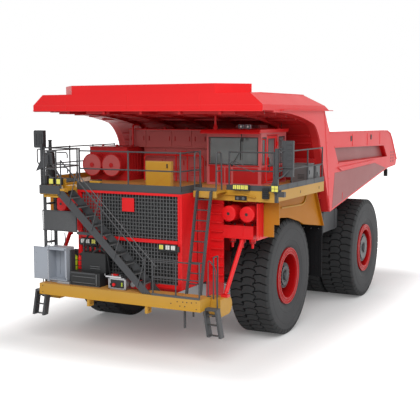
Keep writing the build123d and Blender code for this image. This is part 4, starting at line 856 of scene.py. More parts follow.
def cabinets():
    """Doors, handles, hinges and louvres of the control cabinet, and the lids of the grid box."""
    cabinet = Piece(PINK)
    front, low_front = -3.8, -3.7
    for a, b in ((-2.0, -1.34), (-1.34, -0.40), (-0.40, 0.31), (0.31, 0.85)):
        cabinet.use(PINK).box((a + 0.03, b - 0.03), (front - 0.022, front), (5.69, 6.16))
        for x in (a + 0.10, b - 0.10):
            cabinet.use(RED_DEEP).box(about(x, 0.012), (front - 0.045, front - 0.022), (5.86, 6.0))
    for a, b in ((-1.45, -0.72), (-0.70, 0.05), (0.07, 0.82)):
        cabinet.use(PINK).box((a, b), (low_front - 0.02, low_front), (4.68, 5.60))
        cabinet.use(RED_DEEP).box((b - 0.11, b - 0.08), (low_front - 0.045, low_front - 0.02), (5.1, 5.26))
        for k in range(6):
            z = 4.78 + 0.05 * k
            cabinet.box((a + 0.12, b - 0.2), (low_front - 0.03, low_front - 0.02), (z, z + 0.02))
    cabinet.use(RED).box((-2.03, 0.88), (front - 0.03, -2.52), (6.20, 6.225))
    cabinet.pipe([(-1.35, -3.95, 4.6), (-1.35, -3.95, 5.42), (0.75, -3.95, 5.42), (0.75, -3.95, 4.6)], 0.022)
    cabinet.pipe([(-0.2, -3.95, 4.6), (-0.2, -3.95, 5.5), (0.2, -3.95, 5.55), (0.2, -3.95, 4.6)], 0.022)
    cabinet.pipe([(-1.8, -3.9, 5.3), (-1.8, -3.9, 6.35), (-1.75, -3.6, 6.35)], 0.03)
    for x in (-1.6, -0.9, -0.1, 0.6):
        cabinet.box(about(x, 0.04), (-3.45, -3.37), (6.225, 6.27))
    cabinet.done("control_cabinet_doors", "chassis", "pink_red_paint", 0.004)

    grid = Piece(PINK)
    for x in (-2.72, -2.0):
        centre = (x, 0, 5.11)
        grid.use(PINK).disc(centre, "y", (-4.872, -4.85), 0.345, 0.0, 48)
        grid.use(RED_DEEP).disc(centre, "y", (-4.885, -4.86), 0.352, 0.325, 48)
        grid.disc(centre, "y", (-4.90, -4.872), 0.07, 0.0, 24)
        grid.bolts(centre, "y", 0.335, 18, 0.010, (-4.89, -4.878))
        for y in (-4.80, -4.60):
            grid.disc(centre, "y", (y, y + 0.03), 0.336, 0.32, 48)
    for k in range(7):
        for x in (-1.652, -3.065):
            grid.box((x, x + 0.017), (-4.40 + 0.17 * k, -4.30 + 0.17 * k), (4.75, 5.5))
    grid.box((-3.07, -1.63), (-4.52, -3.18), (5.65, 5.668))
    for x in (-2.9, -2.36, -1.8):
        grid.box(about(x, 0.03), (-4.0, -3.94), (5.668, 5.72))
    grid.done("grid_box_fans", "chassis", "pink_red_paint", 0.003)


def air_cleaners():
    dress, dark = Piece(RED), Piece(BLACK)
    for _ in dress.sides():
        for x in (2.58, 3.13):
            centre = (x, 0, 3.95)
            dress.spin([(-5.985, 0.0), (-5.985, 0.19), (-5.975, 0.212), (-5.95, 0.222), (-5.90, 0.222),
                        (-5.90, 0.0)], centre, "y")
            for y in (-5.60, -5.30):
                dress.disc(centre, "y", (y, y + 0.03), 0.224, 0.2, 48)
            dress.disc(centre, "y", (-5.992, -5.984), 0.060, 0.042, 24)
        for z in (3.235, 3.575):
            dress.box((2.345, 3.25), (-5.80, -5.78), (z, z + 0.03))
        dress.box((3.38, 3.40), (-5.93, -5.12), (3.24, 3.26))
        dress.box((2.94, 2.96), (-5.80, -5.785), (3.26, 3.58))
        for x in (2.48, 2.79, 3.10):
            dress.spin([(2.94, 0.0), (2.94, 0.035), (3.07, 0.042), (3.08, 0.085), (3.11, 0.095),
                        (3.25, 0.10), (3.25, 0.0)], (x, -5.48, 0), "z", 24)
        dress.pipe([(2.45, -5.20, 3.6), (2.25, -5.0, 3.66), (2.25, -4.6, 3.63), (1.6, -4.4, 3.58)],
                   0.11, 0.25, 16)
        for y in (-5.78, -5.55, -5.32):
            dress.box((3.43, 3.445), (y, y + 0.03), (3.28, 4.22))
        dress.rod((2.905, -5.76, 3.18), (2.855, -6.68, 1.89), 0.062)
    dress.done("air_cleaner_lids", "chassis", "red_paint", 0.004)

    for _ in dark.sides():
        for x in (2.58, 3.13):
            dark.disc((x, 0, 3.95), "y", (-5.995, -5.984), 0.042, 0.0, 24)
        for x in (2.48, 2.79, 3.10):
            dark.disc((x, -5.48, 0), "z", (3.10, 3.115), 0.100, 0.08, 24)
        for x in (2.60, 2.90, 3.14):
            dark.rod((x, -5.60, 3.59), (x, -5.60, 3.64), 0.03, 8)
    dark.done("air_cleaner_seals", "chassis", "dark_steel")


def mirrors():
    backs = Piece(DARK)
    # left: a tall plate on a braced post
    backs.box((4.05, 4.35), (-5.665, -5.64), (5.00, 5.21))
    backs.box((4.04, 4.36), (-5.665, -5.645), (5.23, 5.98))
    backs.box((4.07, 4.15), (-5.675, -5.665), (5.29, 5.93))
    for z in (5.30, 5.45, 5.60, 5.75, 5.87):
        backs.box((4.18, 4.32), (-5.685, -5.665), (z, z + 0.08))
    for z in (5.66, 5.22):
        backs.rod((3.95, -5.81, z), (4.11, -5.66, z + 0.05), 0.022)
    backs.slab([(3.72, 4.62), (3.905, 4.62), (3.905, 5.05)], "y", (-5.83, -5.80))
    backs.pipe([(3.97, -5.80, 4.95), (4.10, -5.74, 5.02), (4.25, -5.66, 5.2)], 0.022)
    # right: a rounded plate with ribs, held by a bent tube
    corners = []
    for x, z, start in ((-4.02, 6.14, 0), (-4.30, 6.14, 90), (-4.30, 5.69, 180), (-4.02, 5.69, 270)):
        turns = [radians(start + 15 * k) for k in range(7)]
        corners += [(x + 0.05 * cos(t), z + 0.05 * sin(t)) for t in turns]
    backs.slab(corners, "y", (-5.70, -5.64))
    for x in (-4.25, -4.15, -4.07):
        backs.box(about(x, 0.02), (-5.715, -5.70), (5.74, 6.08))
    backs.pipe([(-3.96, -5.81, 5.60), (-4.225, -5.69, 5.60), (-4.225, -5.69, 5.18), (-3.96, -5.79, 5.05)],
               0.02, 0.08)
    # stack and hood at the right corner
    backs.use(BLACK).spin([(4.62, 0.0), (4.62, 0.16), (5.30, 0.14), (5.50, 0.13), (5.58, 0.055), (5.86, 0.05),
                           (5.86, 0.06), (5.90, 0.06), (5.90, 0.0)], (-3.74, -5.66, 0), "z", 28)
    backs.use(DARK)
    backs.slab([(-3.62, 4.98), (-2.98, 5.22), (-3.02, 5.52), (-3.30, 5.56)], "y", (-6.54, -6.50))
    backs.slab([(-3.50, 5.02), (-3.10, 5.16), (-3.12, 5.48), (-3.28, 5.50)], "y", (-6.60, -6.54))
    backs.rod((-2.58, -6.50, 4.58), (-3.04, -6.50, 5.22), 0.03)
    backs.rod((-2.58, -6.50, 4.50), (-3.45, -6.52, 5.06), 0.02)
    backs.pipe([(-2.59, -7.3, 4.5), (-2.59, -7.3, 5.1), (-2.50, -7.45, 5.3)], 0.02)
    backs.done("mirror_backs", "chassis", "grey_paint", 0.004)

    faces = Piece(MIRROR)
    faces.box((4.06, 4.34), (-5.56, -5.552), (5.02, 5.95))
    faces.box((-4.34, -3.98), (-5.56, -5.552), (5.66, 6.17))
    faces.done("mirror_glass", "chassis", "bright_rod")


# ---------------------------------------------------------------- cab
def window_frame(piece, axis, across, height, face, width):
    """Four strips round an opening in a wall square to axis; face holds the two places of its depth."""
    (a, b), (c, d) = across, height
    tall = (c - width, d + width)
    for u, v in (((a, b), (c - width, c)), ((a, b), (d, d + width)),
                 ((a - width, a), tall), ((b, b + width), tall)):
        piece.box(*lay(axis, face, u, v))


def cab():
    x, y, top = CAB_X, CAB_Y, CAB_TOP
    seal, width, window_z = 0.006, 0.03, (5.23, 5.99)
    seals = Piece(BLACK)
    window_frame(seals, "y", (x[0] + 0.09, x[1] - 0.12), window_z, (y[0] - seal, y[0]), width)
    window_frame(seals, "y", (x[0] + 0.25, x[1] - 0.25), window_z, (y[1], y[1] + seal), width)
    window_frame(seals, "x", (y[0] + 0.20, y[1] - 0.40), window_z, (x[0] - seal, x[0]), width)
    window_frame(seals, "x", (y[0] + 0.13, -4.03), window_z, (x[1], x[1] + seal), width)
    window_frame(seals, "x", (-3.02, y[1] - 0.15), window_z, (x[1], x[1] + seal), width)
    seals.done("cab_window_seals", "chassis", "black_rubber")

    door = Piece(BLACK)
    low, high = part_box("cab_door_window")
    face = 2.86
    trim, wide = (face, face + 0.005), (low.y - 0.02, high.y + 0.02)
    door.boxes((trim, wide, (low.z - 0.02, low.z)), (trim, wide, (high.z, high.z + 0.02)),
               (trim, (low.y - 0.02, low.y), (low.z, high.z)),
               (trim, (high.y, high.y + 0.02), (low.z, high.z)))
    door.box((face + 0.04, face + 0.055), (-3.90, -3.86), (5.22, 5.40))
    door.use(RED).box((face, face + 0.008), (-3.86, -3.24), (4.78, 5.06))
    door.use(DARK).pipe([(face, -3.87, 4.98), (face + 0.05, -3.87, 4.98), (face + 0.05, -3.87, 5.16),
                         (face, -3.87, 5.16)], 0.011, 0.03)
    door.done("cab_door_trim", "cab_door", "black_rubber")

    # the roof's visor and edges
    body = Piece(RED)
    visor = y[0] - 0.30
    body.slab([(visor + 0.06, top + 0.01), (visor, top - 0.03), (visor, top + 0.01),
               (visor + 0.06, top + 0.092)], "x", (x[0] - 0.08, x[1] + 0.08))
    body.boxes(((x[0] - 0.07, x[1] + 0.07), (y[0] - 0.235, y[0] - 0.21), (top - 0.02, top + 0.095)),
               ((x[1] + 0.055, x[1] + 0.075), (y[0] - 0.22, y[1] + 0.04), (top + 0.02, top + 0.10)),
               ((x[0] + 0.25, x[1] - 0.25), (y[0] + 0.3, y[1] - 0.3), (top + 0.09, top + 0.115)))
    # door sill and header, and the stack on the roof's front corner
    for z in ((6.07, 6.09), (4.66, 4.685)):
        body.box((x[1], x[1] + 0.018), (-3.98, -3.12), z)
    body.rod((1.47, -4.55, top + 0.09), (1.47, -4.55, 6.66), 0.038, 14)
    body.spin([(top + 0.08, 0.0), (top + 0.08, 0.075), (top + 0.14, 0.07), (top + 0.22, 0.045),
               (top + 0.22, 0.0)], (1.47, -4.55, 0), "z", 24)
    # pressed panels under the windows
    body.use(RED_DEEP)
    for a, b in ((1.49, 1.68), (1.73, 1.91), (1.98, 2.78)):
        body.box((a, b), (y[0] - 0.014, y[0]), (4.66, 5.12))
    body.box((1.20, 1.44), (y[0] - 0.012, y[0]), (4.68, 5.16))
    body.box((1.16, 2.82), (y[0] - 0.02, y[0]), (5.155, 5.19))
    for a, b in ((-4.36, -4.0), (-3.06, -2.52)):
        body.box((x[1], x[1] + 0.008), (a, b), (4.66, 5.14))
    body.done("cab_panels", "chassis", "red_paint", 0.004)

    fittings = Piece(BLACK)
    # two roof lamps, the wiper and its motor
    for a in (2.19, 2.41):
        fittings.use(CABINET).box((a, a + 0.16), (-4.50, -4.42), (6.27, 6.39))
        fittings.use(BLACK).box((a + 0.02, a + 0.14), (-4.515, -4.50), (6.285, 6.375))
        fittings.use(LENS).box((a + 0.055, a + 0.12), (-4.522, -4.515), (6.30, 6.36))
        fittings.use(DARK).rod((a + 0.08, -4.46, 6.24), (a + 0.08, -4.46, 6.28), 0.015)
    fittings.use(BLACK).rod((2.34, -4.62, 6.14), (2.33, -4.56, 5.99), 0.014)
    fittings.spin([(-4.58, 0.0), (-4.58, 0.045), (-4.54, 0.05), (-4.50, 0.03), (-4.50, 0.0)],
                  (2.33, 0, 5.95), "y", 20)
    fittings.rod((1.95, -4.43, 5.19), (2.25, -4.435, 5.66), 0.010, 6)
    fittings.box((2.22, 2.24), (-4.44, -4.415), (5.35, 5.93))
    fittings.disc((1.95, 0, 5.19), "y", (-4.44, -4.40), 0.03, steps=16)
    # grab bars beside the door
    fittings.use(RED).pipe([(2.93, -4.32, 4.70), (2.98, -4.32, 4.72), (2.98, -4.32, 5.95),
                            (2.88, -4.32, 5.97)], 0.016, 0.04)
    fittings.use(DARK).pipe([(2.87, -3.06, 4.72), (2.95, -3.06, 4.74), (2.95, -3.06, 5.9),
                             (2.87, -3.06, 5.92)], 0.014, 0.04)
    # cooling unit and aerial
    fittings.use(PINK).box((1.6, 2.4), (-3.4, -2.8), (6.265, 6.36))
    fittings.use(BLACK).rod((2.78, -2.6, 6.24), (2.78, -2.6, 6.55), 0.008, 6)
    for k in range(6):
        fittings.box((1.66, 2.34), (-3.408, -3.40), (6.275 + 0.014 * k, 6.281 + 0.014 * k))
    fittings.done("cab_fittings", "chassis", "dark_steel", 0.003)

    console = Piece(BLACK)
    console.box((1.5, 2.45), (-4.10, -4.085), (CAB_FLOOR + 0.40, CAB_FLOOR + 0.56))
    console.use(PANE)
    for n in range(3):
        x = 1.56 + 0.29 * n
        console.box((x, x + 0.24), (-4.083, -4.078), (CAB_FLOOR + 0.42, CAB_FLOOR + 0.54))
    console.use(DARK)
    for n in range(4):
        x, y = 1.33 + 0.03 * n, -3.9 + 0.12 * n
        console.rod((x, y, CAB_FLOOR + 0.52), (x, y, CAB_FLOOR + 0.60), 0.012)
    console.done("console_screens", "chassis", "dark_steel")


def pillow(name, x, y, z, crown, seams):
    """A stuffed pad: a rounded block whose faces swell and whose sides pull in between the corners."""
    cells = 14
    centre = Vector(((x[0] + x[1]) / 2, (y[0] + y[1]) / 2, (z[0] + z[1]) / 2))
    half = Vector(((x[1] - x[0]) / 2, (y[1] - y[0]) / 2, (z[1] - z[0]) / 2))
    shell = bmesh.new()
    bmesh.ops.create_cube(shell, size=2.0)
    bmesh.ops.subdivide_edges(shell, edges=shell.edges, cuts=cells, use_grid_fill=True)
    thin = min(range(3), key=lambda i: half[i])
    for v in shell.verts:
        p = v.co.copy()
        power = 7
        norm = sum(abs(c) ** power for c in p) ** (1 / power)
        q = p / max(norm, 1e-6)
        wide = [i for i in range(3) if i != thin]
        swell = (1 - q[wide[0]] ** 2) * (1 - q[wide[1]] ** 2)
        q[thin] *= 1 - crown + crown * swell ** 0.5 if swell > 0 else 1 - crown
        for i in wide:
            other = wide[1] if i == wide[0] else wide[0]
            q[i] *= 1 - 0.05 * (1 - q[other] ** 2) * abs(q[i]) ** 3
        for k in seams:
            groove = abs(q[wide[0]] - k)
            if groove < 0.06:
                q[thin] *= 0.93 + 0.07 * groove / 0.06
        v.co = centre + Vector((q.x * half.x, q.y * half.y, q.z * half.z))
    mesh = bpy.data.meshes.new(name)
    shell.to_mesh(mesh)
    shell.free()
    mesh.shade_smooth()
    mesh.materials.append(FABRIC)
    piece = bpy.data.objects.new(name, mesh)
    scene.collection.objects.link(piece)
    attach(piece, "chassis")
    return piece


def seat():
    floor, middle = CAB_FLOOR, 2.0
    cushion = pillow("seat_cushion", about(middle, 0.265), (-3.715, -3.20), (floor + 0.35, floor + 0.48),
                     0.35, (-0.55, 0.55))
    pillow("seat_back", about(middle, 0.245), (-3.295, -3.185), (floor + 0.47, floor + 1.07), 0.3,
           (-0.5, 0.5))
    pillow("seat_headrest", about(middle, 0.115), (-3.285, -3.195), (floor + 1.085, floor + 1.245), 0.3, ())
    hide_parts("cab_seat")
    base = Piece(BLACK)
    # the bellows under the seat, between two plates
    for n in range(7):
        z = floor + 0.03 + 0.045 * n
        base.box(about(middle, 0.13), about(-3.45, 0.13), (z, z + 0.022))
        base.box(about(middle, 0.115), about(-3.45, 0.115), (z + 0.022, z + 0.045))
    for low, high in ((0.005, 0.03), (0.325, 0.352)):
        base.box(about(middle, 0.20), (-3.62, -3.26), (floor + low, floor + high))
    for side in (1, -1):
        base.box(about(middle + side * 0.27, 0.03), (-3.60, -3.26), (floor + 0.60, floor + 0.65))
        x = middle + side * 0.06
        base.rod((x, -3.24, floor + 1.05), (x, -3.24, floor + 1.12), 0.008, 8)
    base.done("seat_base", "chassis", "dark_steel", 0.005)


# ---------------------------------------------------------------- tipping body and canopy
def underside_z(y):
    """Height of the body's underside line at y."""
    return BODY_FRONT.y + (BODY_BREAK.y - BODY_FRONT.y) * (y - BODY_FRONT.x) / (BODY_BREAK.x - BODY_FRONT.x)


def tipping_body():
    half = BODY_HALF
    skin = Piece(RED_BODY)
    face, rail = (half, half + 0.012), (half - 0.05, half + 0.02)
    for _ in skin.sides():
        # flanges of the recessed panels
        for a, b in (((-0.37, 5.63), (5.67, 5.51)), ((0.06, 5.08), (6.25, 5.02))):
            skin.slab([a, b, (b[0], b[1] - 0.035), (a[0], a[1] - 0.035)], "x", face)
        # the top rail, which turns down over the tail
        skin.slab([(-0.86, 6.12), (6.20, 6.06), (6.20, 6.02), (-0.85, 6.08)], "x", rail)
        skin.slab([(6.20, 6.06), (6.65, 5.95), (6.95, 5.72), (7.75, 4.86), (7.72, 4.84), (6.92, 5.69),
                   (6.63, 5.91), (6.19, 6.02)], "x", rail)
        # wedge between the panels
        skin.slab([(-0.05, 4.93), (4.35, 4.98), (4.55, 4.88), (0.35, 4.80)], "x", (half, half + 0.05))
        for y in (1.6, 3.4, 5.1):
            skin.box(face, (y, y + 0.01), (5.56 - 0.004 * y, 6.0))
        for y in (-0.9, 0.55):
            z = 3.62 + 0.146 * (y + 0.73)
            skin.slab([(y, z), (y + 0.02, z), (y + 0.02, 4.05), (y, 4.05)], "x", face)
        # seam and bolts along the front edge
        skin.slab([(-0.73, 3.53), (-1.38, 6.78), (-1.42, 6.78), (-0.77, 3.53)], "x", (half, half + 0.01))
        for n in range(5):
            t = (n + 0.5) / 5
            skin.disc((0, -0.70 - 0.62 * t, 3.75 + 2.9 * t), "x", (half, half + 0.014), 0.016, steps=8)
    # painted shade: the recessed panel and the strip along the bottom edge take a darker, greyer red
    skin.use(RED_PANEL_SHADE)
    for _ in skin.sides():
        skin.slab([(-0.34, 5.61), (5.65, 5.49), (6.21, 5.04), (0.07, 5.10)], "x",
                  (half - 0.192, half - 0.186))
        skin.slab([(-0.53, 3.60), (6.10, 4.57), (4.50, 4.85), (0.33, 4.77), (-0.30, 4.77)], "x",
                  about(half, 0.004))
    skin.done("body_side_flanges", "tipping_body", "red_paint", 0.004)

    hole_shade_and_lamps = Piece(BLACK)
    for _ in hole_shade_and_lamps.sides():
        # painted shade: black squares and discs stand for the dark openings and the tail's bolt holes
        for y in (1.45, 3.9):
            hole_shade_and_lamps.box((half - 0.01, half + 0.014), about(y, 0.07), about(5.85, 0.09))
        for y in (6.85, 7.18):
            for z in (4.80, 4.92, 5.04, 5.16):
                hole_shade_and_lamps.disc((0, y, z), "x", (half - 0.012, half + 0.002), 0.048, steps=16)
        hole_shade_and_lamps.box((3.60, 3.74), (6.34, 6.44), (4.22, 4.50))
        hole_shade_and_lamps.box((3.63, 3.71), (6.36, 6.42), (4.48, 4.60))
    hole_shade_and_lamps.use(RED_LENS)
    for _ in hole_shade_and_lamps.sides():
        hole_shade_and_lamps.box((3.62, 3.72), (6.44, 6.452), (4.26, 4.38))
    hole_shade_and_lamps.done("body_painted_hole_shade_and_lamps", "tipping_body", "dark_steel", 0.004)
    canopy()

    bed = Piece(RED_DEEP)
    for n in range(6):
        y = 1.2 * n
        bed.box((-3.47, 3.47), (y, y + 0.08), (underside_z(y) + 0.058, underside_z(y) + 0.078))
    front, rear = underside_z(-0.6), underside_z(6.2)
    for x in (-2.3, 0.0, 2.3):
        bed.slab([(-0.6, front - 0.02), (6.2, rear - 0.02), (6.2, rear - 0.09), (-0.6, front - 0.09)], "x",
                 about(x, 0.02))
    for _ in bed.sides():
        for a, b in ((0.49, 0.455), (0.93, 0.965)):
            bed.rod((a, 4.3, 3.45), (b, 4.3, 3.45), 0.14, 20)
    bed.done("bed_wear_bars", "tipping_body", "red_paint", 0.004)


def canopy():
    seams = Piece(RED)
    edge_z, top = 6.79, (7.26, 7.266)
    for x in (-2.57, -0.45, 1.9):
        seams.box(about(x, 0.006), (-6.408, -6.40), (edge_z + 0.01, 7.24))
    for x in (-1.3, 1.2, 2.2):
        seams.box(about(x, 0.006), (-6.378, -6.37), (7.27, 7.51))
    seams.boxes(((-3.77, 3.77), (-6.425, -6.40), (edge_z - 0.02, edge_z + 0.005)),
                ((-3.77, 3.77), (-6.404, -6.40), (6.93, 6.95)),
                ((-3.40, 3.40), (-4.20, -4.188), top))
    for _ in seams.sides():
        seams.slab([(3.10, -5.62), (3.40, -5.62), (3.40, -2.35), (3.36, -2.35), (3.36, -5.58), (3.10, -5.58)],
                   "z", (7.255, 7.285))
        seams.box((3.77, 3.90), (-5.2, -1.0), (6.803, 6.812))
    for x in (-2.2, 0.0, 2.2):
        seams.box(about(x, 0.006), (-6.30, -2.40), top)
    seams.use(BLACK).box((-3.74, -2.4), (-6.41, -6.37), (edge_z - 0.035, edge_z - 0.02))
    for x in (-3.1, -1.1, 1.5, 3.2):
        seams.disc((x, -5.9, 0), "z", (7.26, 7.275), 0.05, 0.03, 20)
    seams.done("canopy_seams", "tipping_body", "red_paint")

    # purlins under the canopy and stiffeners on the front wall
    shade = Piece(RED_DEEP)
    for y, z in ((-5.55, 6.745), (-4.75, 6.705), (-3.95, 6.65), (-3.2, 6.545)):
        shade.box((-3.45, 3.45), (y, y + 0.05), (z - 0.055, z + 0.03))
    for z in (5.75, 6.0):
        y = -0.73 - 0.466 * (z - 3.52)
        shade.box((-3.45, 3.45), (y - 0.07, y + 0.03), (z, z + 0.05))
    for x in (-1.9, -0.6, 0.6, 1.9):
        shade.slab([(-1.62, 5.55), (-1.66, 5.55), (-1.98, 6.06), (-1.93, 6.06)], "x", about(x, 0.03))
    for x in ((1.05, 2.9), (-1.9, -1.1)):
        shade.box(x, (-6.30, -6.24), (6.70, 6.77))
    shade.done("canopy_purlins", "tipping_body", "red_paint", 0.004)


# ---------------------------------------------------------------- under the deck and behind the wheels
def underside():
    # struts: dust covers, clamps and charging valves
    struts = Piece(DARK)
    for _ in struts.sides():
        front = (KINGPIN_X, FRONT_AXLE_Y, 0)
        struts.disc(front, "z", (2.30, 2.36), 0.212, 0.19)
        for z in (2.62, 2.98, 3.34):
            struts.disc(front, "z", (z, z + 0.05), 0.205, 0.19)
        struts.disc(front, "z", (3.40, 3.43), 0.15)
        struts.bolts(front, "z", 0.12, 8, 0.016, (3.43, 3.45))
        for z in (2.06, 2.30):
            struts.disc((1.15, 3.85, 0), "z", (z, z + 0.06), 0.105, 0.09, 24)
    struts.done("strut_clamps", "chassis", "dark_steel", 0.003)

    for side, word in ((1, "left"), (-1, "right")):
        knuckle = Piece(DARK)
        knuckle.flip = side
        pin, hub = (KINGPIN_X, FRONT_AXLE_Y, 0), (0, FRONT_AXLE_Y, TYRE_R)
        knuckle.disc(pin, "z", (1.27, 1.30), 0.19)
        knuckle.bolts(pin, "z", 0.14, 8, 0.018, (1.245, 1.27))
        for z in (1.62, 2.20):
            knuckle.disc(pin, "z", (z, z + 0.06), 0.235, 0.22)
        knuckle.disc(hub, "x", (2.05, 2.12), 0.40, 0.24, 40)
        knuckle.bolts(hub, "x", 0.34, 16, 0.018, (2.05, 2.03))
        knuckle.done(f"knuckle_covers_{word}", f"knuckle_{word}", "dark_steel", 0.003)

    axle = Piece(RED_DEEP)
    centre = (0, REAR_AXLE_Y, TYRE_R)
    for _ in axle.sides():
        for x in (1.0, 0.45):
            axle.disc(centre, "x", about(x, 0.03), 0.585, 0.55, 48)
        axle.bolts(centre, "x", 0.50, 24, 0.02, (1.33, 1.355))
    y = REAR_AXLE_Y
    axle.use(BLACK).slab([(y + 0.40, 2.05), (y + 0.70, 1.85), (y + 0.70, 1.75), (y + 0.40, 1.75)], "x",
                         (-0.35, 0.35))
    axle.disc((0, 0, TYRE_R), "y", (y + 0.54, y + 0.60), 0.33, 0.0, 40)
    axle.bolts((0, 0, TYRE_R), "y", 0.29, 18, 0.018, (y + 0.60, y + 0.622))
    axle.done("axle_covers", "chassis", "dark_steel", 0.003)

    tanks = Piece(DARK)
    low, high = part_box("fuel_tank")
    for y in (low.y + 0.28, high.y - 0.34):
        strap = (y, y + 0.07)
        tanks.boxes(((low.x - 0.01, high.x + 0.012), strap, (high.z - 0.002, high.z + 0.010)),
                    ((high.x, high.x + 0.012), strap, (low.z + 0.05, high.z + 0.01)),
                    ((low.x - 0.01, high.x + 0.012), strap, (low.z - 0.010, low.z + 0.002)))
    tanks.disc((high.x - 0.25, high.y - 0.2, 0), "z", (high.z, high.z + 0.07), 0.07, 0.0, 24)
    centre = (0, 0.23, 2.05)  # of the hydraulic tank
    for x in (-1.62, -2.0, -2.38):
        tanks.disc(centre, "x", about(x, 0.03), 0.652, 0.63, 48)
    tanks.disc(centre, "x", (-2.52, -2.50), 0.60, 0.0, 48)
    tanks.disc(centre, "x", (-2.55, -2.52), 0.12, 0.0, 24)
    tanks.bolts(centre, "x", 0.09, 6, 0.012, (-2.565, -2.55))
    tanks.use(BLACK).box((high.x, high.x + 0.02), (low.y + 0.12, low.y + 0.17), (low.z + 0.25, high.z - 0.25))
    tanks.done("tank_straps", "chassis", "grey_paint", 0.003)

    rails = Piece(RED_DEEP)
    for _ in rails.sides():
        for y in (-6.7, -5.2, -3.9, -1.9, -0.2, 1.2, 2.6, 4.2):
            for z in (1.75, 2.1) if y < 2 else (2.6, 2.85):
                rails.disc((0, y, z), "x", (RAIL_X, RAIL_X + 0.018), 0.035, 0.0, 12)
        rails.box((RAIL_X, RAIL_X + 0.015), (-6.9, 1.4), (1.54, 1.60))
    rails.use(BLACK).box((-0.30, 0.30), (4.60, 4.62), (2.90, 3.05))
    for _ in rails.sides():
        x = RAIL_X + 0.03
        for z in (2.45, 2.53, 2.61):
            rails.pipe([(x, -2.4, z - 0.2), (x, -1.3, z), (x, 1.8, z + 0.15), (x, 3.2, z + 0.2)],
                       0.022, 0.15, 6)
        # tail lamps
        rails.use(BLACK).box((0.55, 0.85), (4.60, 4.66), (2.56, 2.76))
        rails.use(RED_LENS).box((0.58, 0.70), (4.66, 4.672), (2.59, 2.73))
        rails.use(YELLOW_LENS).box((0.72, 0.82), (4.66, 4.672), (2.59, 2.73))
        rails.use(BLACK)
    rails.done("frame_lines", "chassis", "dark_steel", 0.003)

    engine = Piece(BLACK)
    low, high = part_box("engine_block")
    for _ in engine.sides():
        for n in range(6):
            y = low.y + 0.12 + 0.25 * n
            engine.box((0.50, 0.56), (y, y + 0.18), (2.95, 3.35))
            engine.rod((0.53, y + 0.09, 3.35), (0.42, y + 0.09, 3.60), 0.05, 8)
    engine.use(STEEL)
    for x in (-0.35, 0.35):
        engine.rod((x, low.y + 0.05, 3.68), (x, high.y - 0.05, 3.68), 0.09)
    engine.use(BLACK).disc((0, 0, 2.75), "y", (low.y - 0.20, low.y), 0.42)
    for k in range(8):
        ends = [turned("y", low.y - 0.24, r, pi / 2 - pi * k / 4) + Vector((0, 0, 2.75)) for r in (0.2, 0.85)]
        engine.tube(ends, 0.05, 5)
    engine.done("engine_dress", "chassis", "dark_steel", 0.003)

    flaps = Piece(FLAP_AND_GROOVE_SHADE)
    for _ in flaps.sides():
        for n in range(9):
            flaps.box(about(2.33 + 0.136 * n, 0.012), (-0.772, -0.76), (1.40, 2.70))
    flaps.use(STEEL)
    for _ in flaps.sides():
        for n in range(5):
            flaps.disc((2.35 + 0.26 * n, 0, 2.95), "y", (-0.778, -0.76), 0.025, 0.0, 6)
    flaps.done("flap_ribs", "chassis", "black_rubber")


# ---------------------------------------------------------------- floor, light and camera
# painted shadow: the floor's glow by the truck's footprint, and how far out it reaches full white
PAINTED_SHADOW_GLOW = 0.12  # under the truck
FOOTPRINT = (3.6, 7.4, 0)
PAINTED_SHADOW_REACH = 4.0  # metres from the footprint
DOME = 0.5
# name, place, aim, size, power
LIGHTS = (
    ("key", (9, -24, 19), (0, -2, 3), 20, 4500),
    ("side", (26, 2, 16), (0, 0, 3), 22, 1900),
    ("back", (-14, 18, 18), (0, 2, 3), 22, 1200),
)


def seen_rays(tree):
    """1 for camera, glossy and transmission rays, which see the white background, and 0 for the rest."""
    path = node(tree, "LightPath")
    seen = maths(tree, "MAXIMUM", path.outputs["Is Camera Ray"], path.outputs["Is Glossy Ray"])
    return maths(tree, "MAXIMUM", seen, path.outputs["Is Transmission Ray"])


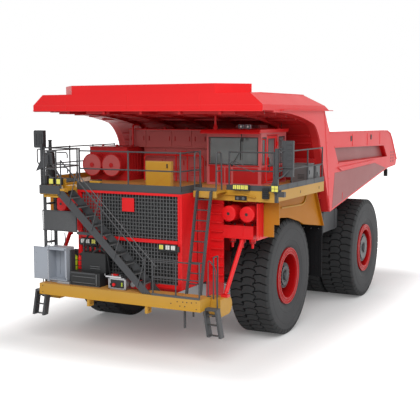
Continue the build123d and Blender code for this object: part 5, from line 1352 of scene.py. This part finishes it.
def stage():
    bpy.ops.mesh.primitive_circle_add(vertices=96, radius=900, fill_type="NGON")
    ground = bpy.context.object
    ground.name = "floor"
    mat = bpy.data.materials.new("pale_floor")
    t = empty_tree(mat)
    matte = node(t, "BsdfDiffuse", {"Color": rgba((0.80, 0.80, 0.80))})

    # painted shadow: the floor's glow is low under the truck's footprint and whitens with the distance from
    # it
    def vector(operation, *values, output=0):
        return node(t, "VectorMath", dict(enumerate(values)), operation=operation).outputs[output]

    folded = vector("ABSOLUTE", node(t, "TexCoord").outputs["Object"])
    outside = vector("MAXIMUM", vector("SUBTRACT", folded, FOOTPRINT), (0, 0, 0))
    gap = vector("LENGTH", outside, output="Value")
    values = {"Value": gap, "From Max": PAINTED_SHADOW_REACH, "To Min": PAINTED_SHADOW_GLOW, "To Max": 1.0}
    painted_shadow_ramp = node(t, "MapRange", values, interpolation_type="SMOOTHSTEP")
    glow = node(t, "Emission", {"Strength": painted_shadow_ramp.outputs[0]})
    clear = node(t, "Emission", {"Strength": 0.0})
    pick = node(t, "MixShader", {0: seen_rays(t), 1: clear.outputs[0], 2: glow.outputs[0]})
    both = node(t, "AddShader", {0: matte.outputs[0], 1: pick.outputs[0]})
    node(t, "OutputMaterial", {"Surface": both.outputs[0]})
    ground.data.materials.append(mat)

    world = bpy.data.worlds.new("studio")
    scene.world = world
    t = empty_tree(world)
    dome, white = (node(t, "Background", {"Color": (1, 1, 1, 1), "Strength": s}) for s in (DOME, 1.0))
    pick = node(t, "MixShader", {0: seen_rays(t), 1: dome.outputs[0], 2: white.outputs[0]})
    node(t, "OutputWorld", {"Surface": pick.outputs[0]})

    for name, place, aim, size, power in LIGHTS:
        lamp = bpy.data.lights.new(name, "AREA")
        lamp.shape = "DISK"
        lamp.size = size
        lamp.energy = power
        rig = bpy.data.objects.new(name, lamp)
        rig.location = place
        rig.rotation_euler = (Vector(aim) - Vector(place)).to_track_quat("-Z", "Y").to_euler()
        scene.collection.objects.link(rig)


def camera():
    lens = bpy.data.cameras.new("camera")
    lens.lens = 71.69
    lens.sensor_width = 36
    lens.clip_end = 2000
    rig = bpy.data.objects.new("camera", lens)
    rig.location = (12.502, -26.757, 6.685)
    rig.rotation_euler = (radians(90 - 6.525), 0, radians(26.793))
    scene.collection.objects.link(rig)
    scene.camera = rig


wheels()
radiator()
bumper()
bumper_boxes()
stairs()
decks()
cabinets()
air_cleaners()
mirrors()
cab()
seat()
tipping_body()
underside()
stage()
camera()
scene.view_settings.view_transform = "Standard"
